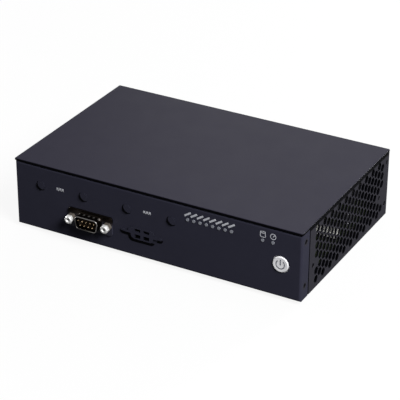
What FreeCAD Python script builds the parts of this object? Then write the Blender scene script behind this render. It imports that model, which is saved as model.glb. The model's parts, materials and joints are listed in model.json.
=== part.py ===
import FreeCAD, Part
import math
import os

# A fanless industrial computer in a low sheet-steel case. Millimetres.
# The solids are made in case coordinates: x from the left side, y back from the front face and z up from
# the underside of the case. write() moves each one to the row frame: +Z up, +X right along the front, the
# front facing -Y, and the origin at the centre of the footprint, under the feet.

Vector = FreeCAD.Vector
RIGHT = Vector(1, 0, 0)
BACK = Vector(0, 1, 0)
UP = Vector(0, 0, 1)

# --- driving dimensions -------------------------------------------------------------------------------
case_width = 192.8
case_depth = 122.0
case_height = 44.7
foot_height = 2.5
foot_radius = 6.0
foot_taper = 0.8
foot_inset = 18.0

pan_sheet = 1.2            # front and rear panels, lid and its brackets
thin_sheet = 1.0           # side panels and base tray
bend_radius = 1.3          # outside radius of the pans' folded edges
flange = 9.3               # how far the front pan wraps round the sides
lid_overhang = 0.3
lid_corner = 0.8
deck = case_height - pan_sheet   # underside of the lid
lid_gap = 0.6              # the open line under the lid
rim = deck - lid_gap       # top of the panels
lap_front = 2.0            # front edge of the sheets that lap under the front pan's flange
joggle_y = flange + 0.1    # where they step out behind it

screw_radius = 1.45        # M3 shank
tapped_radius = 1.5
clearance_radius = 1.6
screw_length = 5.4
sunk_radius = 2.3          # flush heads in the sides
sunk_depth = sunk_radius - screw_radius
head_radius = 2.5
flange_screw_y = 5.0       # front screws, through the pan's side flange
rear_screw_y = 118.5
upper_screw_z = 37.1
lower_screw_z = 8.7
tab_screws = [(15.5, 16.7), (109.5, 16.5)]   # (y, z) of the base tray's side screws

hex_across = 4.7           # honeycomb hole, across flats
hex_pitch = 5.6            # centre to centre
hex_columns = 20
hex_start_y = 20.0
hex_start_z = 5.4
hex_rows = 7
hex_keep_off = 5.8         # no hole is cut this close to a side screw

# Front panel layout: x from the left side, z from the underside of the case.
disc_start_x = 18.2
disc_pitch = 30.15
disc_count = 4
disc_z = 30.45
disc_radius = 2.7
knockout_rise = 0.6        # how far a half-sheared blank stands out
knockout_web = 0.3         # what still holds it
port_x = 53.1              # fitted serial port
spare_port_x = 88.2        # its twin, not knocked out
port_z = 15.4
spare_port_z = port_z + 0.3
jack_spacing = 25.0
lamp_z = 34.1
network_lamp_x = 119.4
network_lamp_pitch = 4.09
network_lamp_count = 8
status_lamp_x = [168.0, 174.5]
pipe_radius = 1.0
button_x = 179.7
button_z = 21.6
button_radius = 4.9
button_hole_radius = 5.6
button_rise = 0.6
button_travel = 1.0

# Serial port.
port_flange_width = 30.8
port_flange_height = 12.5
port_flange_sheet = 0.9
shell_width = 16.9
shell_height = 8.4
shell_wall = 0.5
shell_reach = 6.0          # front rim, ahead of the panel
shell_slope = math.tan(math.radians(10))
port_body_half = 9.0       # half the width of the moulding behind the flange
jack_across = 4.8
jack_reach = 6.2
jack_bore_radius = 1.2
jack_stud_radius = 1.4
pin_pitch = 2.77
row_spacing = 2.84
pin_radius = 0.5

# Boards.
board_left = 6.0
board_right = 187.0
board_front = 12.0
board_rear = 119.8
board_bottom = 6.0
board_sheet = 1.6
board_top = board_bottom + board_sheet
board_holes = [(12.0, 17.0), (181.0, 17.0), (12.0, 94.0), (181.0, 94.0)]
front_board_y = 6.4
front_board_box = (113.0, 186.5, 12.1, 40.1)
front_board_holes = [(116.5, 15.6), (145.0, 15.6), (158.0, 36.6)]

# Cooling.
sink_left = 84.0
sink_width = 62.0
sink_front = 36.5
sink_depth = 60.0
sink_base = 4.0
sink_height = 27.0
fin_count = 13
fin_sheet = 1.3
package_side = 27.0
die_side = 15.0
pad_sheet = 0.5
nut_height = 2.2
standoff_across = 5.5      # hexagonal stand-offs, spacers and nuts

# Rear sockets: centre x of each.
network_jack_x = [20.0, 37.5, 55.0, 72.5]
twin_socket_x = [94.0, 111.0]
display_x = 130.0
inlet_x = 170.0
socket_face = case_depth + 0.4
socket_gap = 0.3

front_reach = max(shell_reach, jack_reach)
rear_reach = lid_overhang
to_frame = Vector(-case_width / 2, -(case_depth + rear_reach - front_reach) / 2, foot_height)


# --- helpers ------------------------------------------------------------------------------------------
def write(name, shape):
    """Move a shape to the row frame and save it as its own STEP file."""
    placed = shape.copy()
    placed.translate(to_frame)
    placed.exportStep("parts/" + name + ".step")


def box(x0, x1, y0, y1, z0, z1):
    return Part.makeBox(x1 - x0, y1 - y0, z1 - z0, Vector(x0, y0, z0))


def rod(radius, start, end):
    """A round bar between two points."""
    along = end - start
    return Part.makeCylinder(radius, along.Length, start, along)


def rod_back(radius, x, z, y0, y1):
    return rod(radius, Vector(x, y0, z), Vector(x, y1, z))


def rod_up(radius, x, y, z0, z1):
    return rod(radius, Vector(x, y, z0), Vector(x, y, z1))


def outline(points, sweep):
    """A closed outline through the points, swept along a vector."""
    wire = Part.makePolygon(points + [points[0]])
    return Part.Face(wire).extrude(sweep)


def hexagon(centre, across, axis, sweep):
    """A hexagonal bar. Lying down, it has two of its flats level; standing, two of them face front and back."""
    sideways = RIGHT if axis == UP else UP.cross(axis)
    upward = axis.cross(sideways)
    corner = across / math.sqrt(3)
    points = []
    for side in range(6):
        angle = math.radians(60 * side)
        points.append(centre + sideways * (corner * math.cos(angle)) + upward * (corner * math.sin(angle)))
    return outline(points, axis * sweep)


def edges_along(solid, axis, chosen=None):
    """The straight edges parallel to an axis, or those of them whose middle is chosen."""
    found = []
    for edge in solid.Edges:
        if not isinstance(edge.Curve, (Part.Line, Part.LineSegment)):
            continue
        if edge.tangentAt(edge.FirstParameter).cross(axis).Length > 1e-6:
            continue
        if chosen is None or chosen(edge.CenterOfMass):
            found.append(edge)
    return found


def rounded(solid, radius, axis, chosen=None):
    return solid.makeFillet(radius, edges_along(solid, axis, chosen))


def mirrored(shape):
    """The same piece on the other side of the case."""
    return shape.mirror(Vector(case_width / 2, 0, 0), RIGHT)


def both_sides(solids):
    return Part.makeCompound(solids + [mirrored(solid) for solid in solids])


def cut_all(solid, tools):
    return solid.cut(Part.makeCompound(tools))


def swept_strip(width, sheet, x_centre, start, moves):
    """A flat flexible strip, wide along x. It starts at (y, z) heading back, and each move is a straight
    run, (length, 0), or a bend, (radius, degrees upwards)."""
    y, z = start
    heading = 0.0
    edges = []
    for size, degrees in moves:
        here = Vector(x_centre, y, z)
        if degrees == 0:
            y += size * math.cos(heading)
            z += size * math.sin(heading)
            edges.append(Part.LineSegment(here, Vector(x_centre, y, z)).toShape())
            continue
        side = math.copysign(1, degrees)
        centre_y = y - side * size * math.sin(heading)
        centre_z = z + side * size * math.cos(heading)
        turned = []
        for share in (0.5, 1.0):
            angle = heading + math.radians(degrees) * share
            turned.append((centre_y + side * size * math.sin(angle), centre_z - side * size * math.cos(angle)))
        heading += math.radians(degrees)
        middle = Vector(x_centre, *turned[0])
        y, z = turned[1]
        edges.append(Part.Arc(here, middle, Vector(x_centre, y, z)).toShape())
    across = RIGHT * (width / 2)
    high = UP * (sheet / 2)
    first = Vector(x_centre, *start)
    corners = [first - across - high, first + across - high, first + across + high, first - across + high]
    section = Part.makePolygon(corners + [corners[0]])
    return Part.Wire(edges).makePipeShell([section], True, False)


# --- case ---------------------------------------------------------------------------------------------
def pan(x0, x1, y0, y1, z0, z1, face_y):
    """A folded tray of pan_sheet: one face, square to y, with its four sides turned away from it."""
    def on_face(centre):
        return abs(centre.y - face_y) < 1e-6

    outer = box(x0, x1, y0, y1, z0, z1)
    outer = outer.makeFillet(bend_radius, edges_along(outer, RIGHT, on_face) + edges_along(outer, UP, on_face))
    inner_y0 = y0 + pan_sheet if face_y == y0 else y0 - 1
    inner_y1 = y1 - pan_sheet if face_y == y1 else y1 + 1
    inner = box(x0 + pan_sheet, x1 - pan_sheet, inner_y0, inner_y1, z0 + pan_sheet, z1 - pan_sheet)
    return outer.cut(inner)


def bracket_room(y0, y1):
    """Notches in a pan's top flange, where the lid brackets reach the lid."""
    room = box(bracket_inner_x - 0.4, bracket_outer_x + 0.01, y0, y1, rim - pan_sheet - 0.01, deck)
    return [room, mirrored(room)]


def dee(centre_x, centre_z, width, height, y0, y1, corner):
    """A D-shaped bar for the serial port: the long side up, and the ends sloping in below."""
    half = width / 2
    lower = half - height * shell_slope
    points = [
        Vector(centre_x - half, y0, centre_z + height / 2),
        Vector(centre_x + half, y0, centre_z + height / 2),
        Vector(centre_x + lower, y0, centre_z - height / 2),
        Vector(centre_x - lower, y0, centre_z - height / 2),
    ]
    return rounded(outline(points, BACK * (y1 - y0)), corner, BACK)


def spare_port_blank(y0, y1, grow=0.0):
    """The outline of the port blank: a D with a round ear for each jack screw."""
    half = jack_spacing / 2
    ear = 1.4 + grow
    high = 0.9 + grow
    blank = dee(spare_port_x, spare_port_z, 18.4 + 2 * grow, 7.8 + 2 * grow, y0, y1, 2.2)
    blank = blank.fuse(box(spare_port_x - half, spare_port_x + half, y0, y1, spare_port_z - high, spare_port_z + high))
    for side in (-1, 1):
        blank = blank.fuse(rod_back(ear, spare_port_x + side * half, spare_port_z, y0, y1))
    return blank.removeSplitter()


def port_slots():
    """The four pry slots that free the port blank."""
    slots = []
    for x in (-3.0, 3.0):
        for z in (-1.55, 2.15):
            centre_x = spare_port_x + 0.6 + x
            centre_z = spare_port_z + z
            slots.append(box(centre_x - 2, centre_x + 2, -2, 2, centre_z - 0.95, centre_z + 0.95))
    return slots


def side_screw_places():
    """(y, z) of the six screws in each side."""
    places = []
    for y in (flange_screw_y, rear_screw_y):
        for z in (lower_screw_z, upper_screw_z):
            places.append((y, z))
    return places + tab_screws


def screw_holes(radius, places, x0, x1):
    """Holes along x through the right side, and the same through the left."""
    holes = []
    for y, z in places:
        hole = rod(radius, Vector(x0, y, z), Vector(x1, y, z))
        holes += [hole, mirrored(hole)]
    return holes


def countersinks(places):
    """Conical seats for flush screw heads, in both sides."""
    seats = []
    for y, z in places:
        seat = Part.makeCone(sunk_radius, screw_radius, sunk_depth, Vector(case_width, y, z), -RIGHT)
        seats += [seat, mirrored(seat)]
    return seats


def lamp_places():
    places = []
    for index in range(network_lamp_count):
        places.append(network_lamp_x + index * network_lamp_pitch)
    return places + status_lamp_x


def front_panel():
    panel = pan(0, case_width, 0, flange, 0, rim, 0)
    cuts = bracket_room(pan_sheet, flange + 1)
    flange_screws = [place for place in side_screw_places() if place[0] < flange]
    cuts += screw_holes(screw_radius + 0.02, flange_screws, case_width - 3, case_width - sunk_depth / 2)
    cuts += countersinks(flange_screws)
    for x in lamp_places():
        cuts.append(rod_back(pipe_radius + 0.05, x, lamp_z, -1, 3))
    cuts.append(rod_back(button_hole_radius, button_x, button_z, -1, 3))
    body = box(port_x - port_body_half - 0.3, port_x + port_body_half + 0.3, -1, 3, port_z - 5.6, port_z + 5.6)
    cuts.append(rounded(body, 1.5, BACK))
    for side in (-1, 1):
        cuts.append(rod_back(clearance_radius, port_x + side * jack_spacing / 2, port_z, -1, 3))
    blanks = []
    for index in range(disc_count):
        x = disc_start_x + index * disc_pitch
        cuts.append(rod_back(disc_radius, x, disc_z, knockout_web, 3))
        blanks.append(rod_back(disc_radius, x, disc_z, -knockout_rise, knockout_web / 2))
    cuts.append(spare_port_blank(knockout_web, 3))
    blanks.append(spare_port_blank(-knockout_rise, knockout_web / 2, -0.02))
    panel = cut_all(panel, cuts)
    for blank in blanks:
        panel = panel.fuse(blank)
    return cut_all(panel, port_slots())


def rear_panel():
    panel = pan(thin_sheet, case_width - thin_sheet, case_depth - flange, case_depth, thin_sheet, rim, case_depth)
    cuts = bracket_room(case_depth - flange - 1, case_depth - pan_sheet)
    cuts += screw_holes(clearance_radius, [(rear_screw_y, upper_screw_z)], case_width - 4, case_width + 1)
    cuts += screw_holes(tapped_radius, [(rear_screw_y, lower_screw_z)], case_width - 4, case_width + 1)
    for x, width, height in rear_sockets():
        cuts.append(
            box(
                x - width / 2 - socket_gap, x + width / 2 + socket_gap,
                case_depth - pan_sheet - 1, case_depth + 1,
                board_top - socket_gap, board_top + height + socket_gap,
            )
        )
    return cut_all(panel, cuts)


def honeycomb():
    """The hexagonal holes of one side: every other column is shifted up by half a pitch."""
    column_pitch = hex_pitch * math.cos(math.radians(30))
    holes = []
    for column in range(hex_columns):
        shifted = column % 2
        y = hex_start_y + column * column_pitch
        for row in range(hex_rows - shifted):
            z = hex_start_z + (row + shifted / 2) * hex_pitch
            if any(math.hypot(y - screw_y, z - screw_z) < hex_keep_off for screw_y, screw_z in tab_screws):
                continue
            holes.append(hexagon(Vector(case_width - 2, y, z), hex_across, RIGHT, 3))
    return holes


def side_panel():
    """The right side: a perforated sheet whose front edge is joggled in, under the front pan's flange."""
    face = case_width
    step = pan_sheet
    inset = thin_sheet * math.tan(math.radians(22.5))
    profile = [
        Vector(face, case_depth, 0),
        Vector(face, joggle_y + step, 0),
        Vector(face - step, joggle_y, 0),
        Vector(face - step, lap_front, 0),
        Vector(face - step - thin_sheet, lap_front, 0),
        Vector(face - step - thin_sheet, joggle_y + inset, 0),
        Vector(face - thin_sheet, joggle_y + step + inset, 0),
        Vector(face - thin_sheet, case_depth, 0),
    ]
    sheet = outline(profile, UP * rim)
    trim = pan_sheet + 0.2
    cuts = [
        box(face - 3, face + 1, 0, flange + 0.3, -1, trim),
        box(face - 3, face + 1, 0, flange + 0.3, rim - trim, deck),
    ]
    for y, z in side_screw_places():
        radius = clearance_radius if y < flange else screw_radius + 0.02
        cuts.append(rod(radius, Vector(face - 4, y, z), Vector(face - sunk_depth / 2, y, z)))
        if y > flange:
            cuts += countersinks([(y, z)])
    return cut_all(sheet, cuts + honeycomb())


def base_tray():
    """The floor of the case. Its front edge is joggled up over the front pan's lower flange, and tabs
    stand up inside the sides for the lower front screws and the middle ones."""
    step = pan_sheet
    inset = thin_sheet * math.tan(math.radians(22.5))
    side_gap = pan_sheet + thin_sheet + 0.1
    profile = [
        Vector(side_gap, case_depth, 0),
        Vector(side_gap, joggle_y + step, 0),
        Vector(side_gap, joggle_y, step),
        Vector(side_gap, lap_front, step),
        Vector(side_gap, lap_front, step + thin_sheet),
        Vector(side_gap, joggle_y + inset, step + thin_sheet),
        Vector(side_gap, joggle_y + step + inset, thin_sheet),
        Vector(side_gap, case_depth, thin_sheet),
    ]
    tray = outline(profile, RIGHT * (case_width - 2 * side_gap))
    tray = tray.fuse(box(thin_sheet, case_width - thin_sheet, joggle_y + 3, case_depth, 0, thin_sheet))
    inner = case_width - thin_sheet
    tabs = [box(bracket_outer_x - thin_sheet, bracket_outer_x, lap_front, flange, step, lower_screw_z + 4)]
    for y, z in tab_screws:
        tabs.append(box(inner - thin_sheet, inner, y - 3.2, min(y + 4, case_depth - flange - 0.2), 0, z + 4))
    for tab in tabs:
        top = tab.BoundBox.ZMax
        tab = rounded(tab, 1.5, RIGHT, lambda centre: abs(centre.z - top) < 1e-6)
        tray = tray.fuse(tab).fuse(mirrored(tab))
    tray = tray.removeSplitter()
    return cut_all(tray, screw_holes(tapped_radius, side_screw_places(), case_width - 6, case_width))


def top_cover():
    cover = box(
        -lid_overhang, case_width + lid_overhang, -lid_overhang, case_depth + lid_overhang, deck, case_height,
    )
    cover = rounded(cover, lid_corner, UP)
    top_edges = [edge for edge in cover.Edges if abs(edge.CenterOfMass.z - case_height) < 1e-6]
    return cover.makeFillet(0.5, top_edges)


# The lid's corner brackets stand against the pans' side flanges.
bracket_outer_x = case_width - pan_sheet - thin_sheet
bracket_inner_x = bracket_outer_x - 11.0


def lid_bracket(y0, y1):
    foot = upper_screw_z - 5
    bracket = box(bracket_inner_x, bracket_outer_x, y0, y1, foot, deck)
    hollow = box(bracket_inner_x - 1, bracket_outer_x - pan_sheet, y0 - 1, y1 + 1, foot - 1, deck - pan_sheet)
    bracket = bracket.cut(hollow)

    def at_fold(centre):
        return abs(centre.x - bracket_outer_x) < 1e-6 and abs(centre.z - deck) < 1e-6

    return rounded(bracket, 1.0, BACK, at_fold)


def lid_brackets():
    brackets = []
    for y0, y1 in ((flange_screw_y - 3, flange_screw_y + 4), (rear_screw_y - 5, rear_screw_y + 2)):
        bracket = lid_bracket(y0, y1)
        brackets.append(cut_all(bracket, screw_holes(tapped_radius, side_screw_places(), case_width - 6, case_width)))
    return both_sides(brackets)


def pan_screw(seat, outward, length, height, shank=screw_radius, head=head_radius):
    """A low-headed screw. Its head sits on the seat point and faces outward."""
    screw = Part.makeCylinder(head, height, seat, outward)
    return screw.fuse(Part.makeCylinder(shank, length, seat - outward * length, outward))


def case_screws():
    """Countersunk screws, flush with the sides."""
    screws = []
    for y, z in side_screw_places():
        face = Vector(case_width, y, z)
        head = Part.makeCone(sunk_radius, screw_radius, sunk_depth, face, -RIGHT)
        screws.append(head.fuse(rod(screw_radius, face - RIGHT * screw_length, face - RIGHT * sunk_depth)))
    return both_sides(screws)


def rubber_feet():
    """Tapered rubber feet, stuck under the base tray."""
    feet = []
    for y in (foot_inset + 2, case_depth - foot_inset):
        sole = Vector(case_width - foot_inset, y, -foot_height)
        feet.append(Part.makeCone(foot_radius - foot_taper, foot_radius, foot_height, sole, UP))
    return both_sides(feet)


# --- main board ---------------------------------------------------------------------------------------
def main_board():
    board = box(board_left, board_right, board_front, board_rear, board_bottom, board_top)
    board = rounded(board, 2.0, UP)
    cuts = [rod_up(clearance_radius, x, y, 0, 20) for x, y in board_holes]
    cuts += [rod_up(clearance_radius, x, y, 0, 20) for x, y in sink_screw_places()]
    return cut_all(board, cuts)


def board_standoffs():
    standoffs = []
    for x, y in board_holes:
        post = hexagon(Vector(x, y, thin_sheet), standoff_across, UP, board_bottom - thin_sheet)
        standoffs.append(post.cut(rod_up(tapped_radius, x, y, thin_sheet + 0.4, board_top)))
    return Part.makeCompound(standoffs)


def board_screws():
    return Part.makeCompound([pan_screw(Vector(x, y, board_top), UP, 4.6, 1.6) for x, y in board_holes])


package_x = sink_left + sink_width / 2
package_y = sink_front + sink_depth / 2
package_top = board_top + 1.2
die_top = package_top + 1.0
sink_bottom = die_top + pad_sheet


def square_on(side, z0, z1):
    return box(package_x - side / 2, package_x + side / 2, package_y - side / 2, package_y + side / 2, z0, z1)


def processor():
    return square_on(package_side, board_top, package_top).fuse(square_on(die_side, package_top, die_top))


def thermal_pad():
    return square_on(die_side + 1, die_top, sink_bottom)


def sink_screw_places():
    inset = 4.5
    places = []
    for x in (sink_left + inset, sink_left + sink_width - inset):
        for y in (sink_front + inset, sink_front + sink_depth - inset):
            places.append((x, y))
    return places


def heatsink():
    """An extrusion: a thick base carrying tapered fins that run across the case, from side to side."""
    pitch = (sink_depth - fin_sheet) / (fin_count - 1)
    floor = sink_bottom + sink_base
    top = sink_bottom + sink_height
    taper = 0.15
    profile = [Vector(sink_left, sink_front, sink_bottom)]
    for index in range(fin_count):
        near = sink_front + index * pitch
        far = near + fin_sheet
        profile += [
            Vector(sink_left, near, floor),
            Vector(sink_left, near + taper, top),
            Vector(sink_left, far - taper, top),
            Vector(sink_left, far, floor),
        ]
    profile.append(Vector(sink_left, sink_front + sink_depth, sink_bottom))
    del profile[1]
    sink = outline(profile, RIGHT * sink_width)
    cuts = []
    for x, y in sink_screw_places():
        cuts.append(rod_up(clearance_radius, x, y, 0, case_height))
        cuts.append(rod_up(3.4, x, y, floor, case_height))
    return cut_all(sink, cuts)


def heatsink_nuts():
    nuts = []
    for x, y in sink_screw_places():
        nut = hexagon(Vector(x, y, board_bottom - nut_height), standoff_across, UP, nut_height)
        nuts.append(nut.cut(rod_up(tapped_radius, x, y, 0, board_top)))
    return Part.makeCompound(nuts)


def heatsink_screws():
    length = sink_base + sink_bottom - board_bottom + nut_height
    seat = sink_bottom + sink_base
    return Part.makeCompound([pan_screw(Vector(x, y, seat), UP, length, 1.8) for x, y in sink_screw_places()])


memory_left = 10.0
memory_width = 67.6
memory_y = 60.0            # front of the socket bar
memory_z = board_top + 2.4


def memory_socket():
    """A low bar with a slot facing back and two spring arms along the module's ends."""
    left = memory_left - 1.6
    right = memory_left + memory_width + 1.6
    bar = box(left, right, memory_y, memory_y + 6.5, board_top, board_top + 5.2)
    arm = box(left, left + 1.4, memory_y + 5, memory_y + 30, board_top, board_top + 4.4)
    other_arm = arm.translated(Vector(right - left - 1.4, 0, 0))
    slot = box(
        memory_left - 0.05, memory_left + memory_width + 0.05, memory_y + 2.5, memory_y + 10,
        memory_z, memory_z + 1.05,
    )
    return bar.fuse(arm).fuse(other_arm).cut(slot)


def memory_module():
    """A small board with a row of flat memory packages and a key notch in its contact edge."""
    module = box(memory_left, memory_left + memory_width, memory_y + 2.5, memory_y + 32.5, memory_z, memory_z + 1)
    notch = box(memory_left + 23, memory_left + 24.6, memory_y, memory_y + 6.5, memory_z - 1, memory_z + 2)
    module = module.cut(notch)
    for index in range(4):
        x = memory_left + 5 + index * 15.4
        module = module.fuse(box(x, x + 11.4, memory_y + 13, memory_y + 23, memory_z + 1, memory_z + 2.1))
    return module


card_right = 168.0
card_length = 80.0
card_y = 24.2
card_z = board_top + 2.1


def storage_socket():
    left = card_right - card_length - 5.6
    body = box(left, left + 8.6, card_y - 11, card_y + 11, board_top, board_top + 4.2)
    slot = box(left + 5.6, left + 10, card_y - 10.65, card_y + 10.65, card_z, card_z + 0.85)
    return body.cut(slot)


def storage_card():
    """A narrow card with three flat packages, and a half-round notch for its screw."""
    half = 10.6
    card = box(card_right - card_length, card_right, card_y - half, card_y + half, card_z, card_z + 0.8)
    card = card.cut(rod_up(screw_radius + 0.1, card_right, card_y, 0, 20))
    for x, length in ((22.0, 12.0), (38.0, 16.0), (58.0, 16.0)):
        start = card_right - card_length + x
        card = card.fuse(box(start, start + length, card_y - 7, card_y + 7, card_z + 0.8, card_z + 1.9))
    return card


def storage_screw():
    """The card's stand-off and the screw that clamps the card to it."""
    post = rod_up(2.6, card_right, card_y, board_top, card_z)
    return post.fuse(pan_screw(Vector(card_right, card_y, card_z + 0.8), UP, 2.0, 1.2))


cell_x = 26.0
cell_y = 43.0


def cell_holder():
    """A round cup with an open mouth at the front and a spring finger slot."""
    cup = rod_up(11.6, cell_x, cell_y, board_top, board_top + 4.6)
    cup = cup.cut(rod_up(10.1, cell_x, cell_y, board_top + 1.2, board_top + 9))
    return cup.cut(box(cell_x - 6, cell_x + 6, cell_y - 14, cell_y - 6, board_top + 1.2, board_top + 9))


def coin_cell():
    return rod_up(10.0, cell_x, cell_y, board_top + 1.2, board_top + 4.4)


header_left = 167.2
header_width = 18.6
header_y = 62.0
header_depth = 6.0
header_top = 17.0
header_pins = 6


def power_header():
    """A white friction-lock wafer: a floor, a high back wall and a low front wall."""
    floor = box(header_left, header_left + header_width, header_y, header_y + header_depth, board_top, board_top + 3.2)
    wall = box(
        header_left, header_left + header_width, header_y + header_depth - 1.0, header_y + header_depth,
        board_top, header_top,
    )
    lip = box(header_left, header_left + header_width, header_y, header_y + 0.8, board_top, board_top + 4.6)
    return floor.fuse(wall).fuse(lip).cut(Part.makeCompound(header_pin_solids())).removeSplitter()


def header_pin_solids():
    pins = []
    pitch = header_width / header_pins
    for index in range(header_pins):
        x = header_left + pitch * (index + 0.5)
        y = header_y + header_depth / 2
        pins.append(box(x - 0.35, x + 0.35, y - 0.35, y + 0.35, board_top, header_top - 1.6))
    return pins


def power_header_pins():
    return Part.makeCompound(header_pin_solids())


def capacitors():
    """Round cans beside the power input."""
    cans = []
    for x, y, radius, height in (
        (182.0, 86.0, 3.15, 7.7), (155.0, 65.0, 4.0, 10.0), (155.0, 75.0, 4.0, 10.0), (155.0, 85.0, 4.0, 10.0),
    ):
        can = rod_up(radius, x, y, board_top, board_top + height)
        cans.append(can)
    return Part.makeCompound(cans)


def inductors():
    """Square moulded coils with bevelled corners."""
    coils = []
    for y in (40.0, 51.0, 90.0):
        coil = box(164.0, 173.0, y, y + 9.0, board_top, board_top + 4.0)
        coils.append(coil.makeChamfer(1.6, edges_along(coil, UP)))
    return Part.makeCompound(coils)


# --- front board, indicators and power button ---------------------------------------------------------
def front_board():
    x0, x1, z0, z1 = front_board_box
    board = box(x0, x1, front_board_y, front_board_y + board_sheet, z0, z1)
    board = rounded(board, 1.5, BACK)
    return cut_all(board, [rod_back(clearance_radius, x, z, 0, 20) for x, z in front_board_holes])


def front_board_spacers():
    spacers = []
    for x, z in front_board_holes:
        spacer = hexagon(Vector(x, pan_sheet, z), standoff_across, BACK, front_board_y - pan_sheet)
        spacers.append(spacer.cut(rod_back(tapped_radius, x, z, pan_sheet + 0.8, 20)))
    return Part.makeCompound(spacers)


def front_board_screws():
    seat = front_board_y + board_sheet
    return Part.makeCompound([pan_screw(Vector(x, seat, z), BACK, 4.5, 1.5) for x, z in front_board_holes])


lamp_depth = 1.2
lamp_face = front_board_y - lamp_depth
pipe_rise = 0.25
carrier_front = 2.0


def light_pipes(places):
    """Clear round rods that fill the panel's holes, moulded onto one carrier bar against the lamps."""
    first = min(places) - 2.2
    last = max(places) + 2.2
    pipes = box(first, last, carrier_front, lamp_face, lamp_z - 1.7, lamp_z + 1.7)
    for x in places:
        pipes = pipes.fuse(rod_back(pipe_radius, x, lamp_z, -pipe_rise, carrier_front))
    return pipes


def network_light_pipes():
    return light_pipes(lamp_places()[:network_lamp_count])


def status_light_pipes():
    return light_pipes(status_lamp_x)


def indicator_lamps():
    lamps = []
    for x in lamp_places():
        lamps.append(box(x - 1.0, x + 1.0, lamp_face, front_board_y, lamp_z - 0.8, lamp_z + 0.8))
    return Part.makeCompound(lamps)


button_flange_radius = 6.3
button_flange_sheet = 0.8
switch_front = pan_sheet + button_flange_sheet + button_travel + 0.2
plunger_radius = 1.65
plunger_depth = 1.0        # how much of the plunger is inside the switch, at rest


def power_button():
    """The cap: a round face through the panel and a wider flange that keeps it from falling out."""
    cap = rod_back(button_radius, button_x, button_z, -button_rise, pan_sheet)
    rim = [edge for edge in cap.Edges if abs(edge.CenterOfMass.y + button_rise) < 1e-6]
    cap = cap.makeChamfer(0.35, rim)
    return cap.fuse(rod_back(button_flange_radius, button_x, button_z, pan_sheet, pan_sheet + button_flange_sheet))


def switch_plunger():
    start = pan_sheet + button_flange_sheet
    return rod_back(plunger_radius, button_x, button_z, start, switch_front + plunger_depth)


def power_switch():
    """A square push switch on the front board, bored for its plunger."""
    half = 3.5
    body = box(button_x - half, button_x + half, switch_front, front_board_y, button_z - half, button_z + half)
    bore_end = switch_front + plunger_depth + button_travel + 0.2
    return body.cut(rod_back(plunger_radius + 0.1, button_x, button_z, switch_front - 1, bore_end))


def button_guide():
    """A square collar between the panel and the front board, bored to guide the cap's flange."""
    half = 7.3
    collar = box(button_x - half, button_x + half, pan_sheet, front_board_y, button_z - half, button_z + half)
    collar = rounded(collar, 1.5, BACK)
    return collar.cut(rod_back(button_flange_radius + 0.2, button_x, button_z, 0, 20))


def cable_header(x, width, y, z0):
    """A small right-angle header on a board, with its mouth at the front."""
    return box(x - width / 2, x + width / 2, y, y + 8.0, z0, z0 + 6.4)


front_cable_x = 156.0
front_cable_width = 12.0
front_cable_z = 19.1
front_header_y = 50.0
cable_sheet = 0.9
cable_entry = 3.2          # height of a cable's mouth above the main board
plug_depth = 5.0


def front_cable_plug():
    """The plug on the back of the front board."""
    back = front_board_y + board_sheet
    half = front_cable_width / 2 + 1
    low = front_cable_z - 3
    return box(front_cable_x - half, front_cable_x + half, back, back + plug_depth, low, low + 6)


def front_header():
    return cable_header(front_cable_x, front_cable_width + 3, front_header_y, board_top)


# --- serial port --------------------------------------------------------------------------------------
def serial_shell():
    """The formed metal front: a flat flange carrying a D-shaped skirt, with three pressed dimples."""
    half_width = port_flange_width / 2
    half_height = port_flange_height / 2
    plate = box(
        port_x - half_width, port_x + half_width, -port_flange_sheet, 0, port_z - half_height, port_z + half_height,
    )
    plate = rounded(plate, 1.8, BACK)
    skirt = dee(port_x, port_z, shell_width, shell_height, -shell_reach, -port_flange_sheet / 2, 2.4)
    hollow_width = shell_width - 2 * shell_wall
    hollow_height = shell_height - 2 * shell_wall
    hollow = dee(port_x, port_z, hollow_width, hollow_height, -shell_reach - 1, 1, 1.9)
    cuts = [hollow]
    for side in (-1, 1):
        cuts.append(rod_back(clearance_radius, port_x + side * jack_spacing / 2, port_z, -2, 1))
    dimple_radius = 1.6
    dimple_depth = 0.3
    for offset in (-4.5, 0.0, 4.5):
        centre = Vector(port_x + offset, -3.4, port_z + shell_height / 2 + dimple_radius - dimple_depth)
        cuts.append(Part.makeSphere(dimple_radius, centre))
    return cut_all(plate.fuse(skirt), cuts)


def pin_places():
    """Five pins above four, half a pitch apart."""
    places = []
    for count, z in ((5, row_spacing / 2), (4, -row_spacing / 2)):
        for index in range(count):
            places.append((port_x + (index - (count - 1) / 2) * pin_pitch, port_z + z))
    return places


insulator_front = -2.0
insulator_back = 9.0
pin_seat = -1.0
pin_front = -6.0


def serial_insulator():
    gap = 0.05
    width = shell_width - 2 * shell_wall - gap
    nose = dee(port_x, port_z, width, shell_height - 2 * shell_wall - gap, insulator_front, 0.5, 1.9)
    body = box(port_x - port_body_half, port_x + port_body_half, 0, insulator_back, port_z - 5.3, port_z + 5.3)
    body = rounded(body, 1.2, BACK)
    seats = [rod_back(pin_radius, x, z, insulator_front - 1, pin_seat) for x, z in pin_places()]
    return cut_all(nose.fuse(body), seats)


def serial_pins():
    return Part.makeCompound([rod_back(pin_radius, x, z, pin_front, pin_seat) for x, z in pin_places()])


def serial_jack_screws():
    """Hexagonal posts with a tapped mouth, and a stud through the flange and the panel."""
    screws = []
    for side in (-1, 1):
        x = port_x + side * jack_spacing / 2
        length = jack_reach - port_flange_sheet
        post = hexagon(Vector(x, -jack_reach, port_z), jack_across, BACK, length)
        post = post.fuse(rod_back(jack_stud_radius, x, port_z, -port_flange_sheet, 4.2))
        screws.append(post.cut(rod_back(jack_bore_radius, x, port_z, -jack_reach - 1, -port_flange_sheet - 0.3)))
    return Part.makeCompound(screws)


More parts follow.
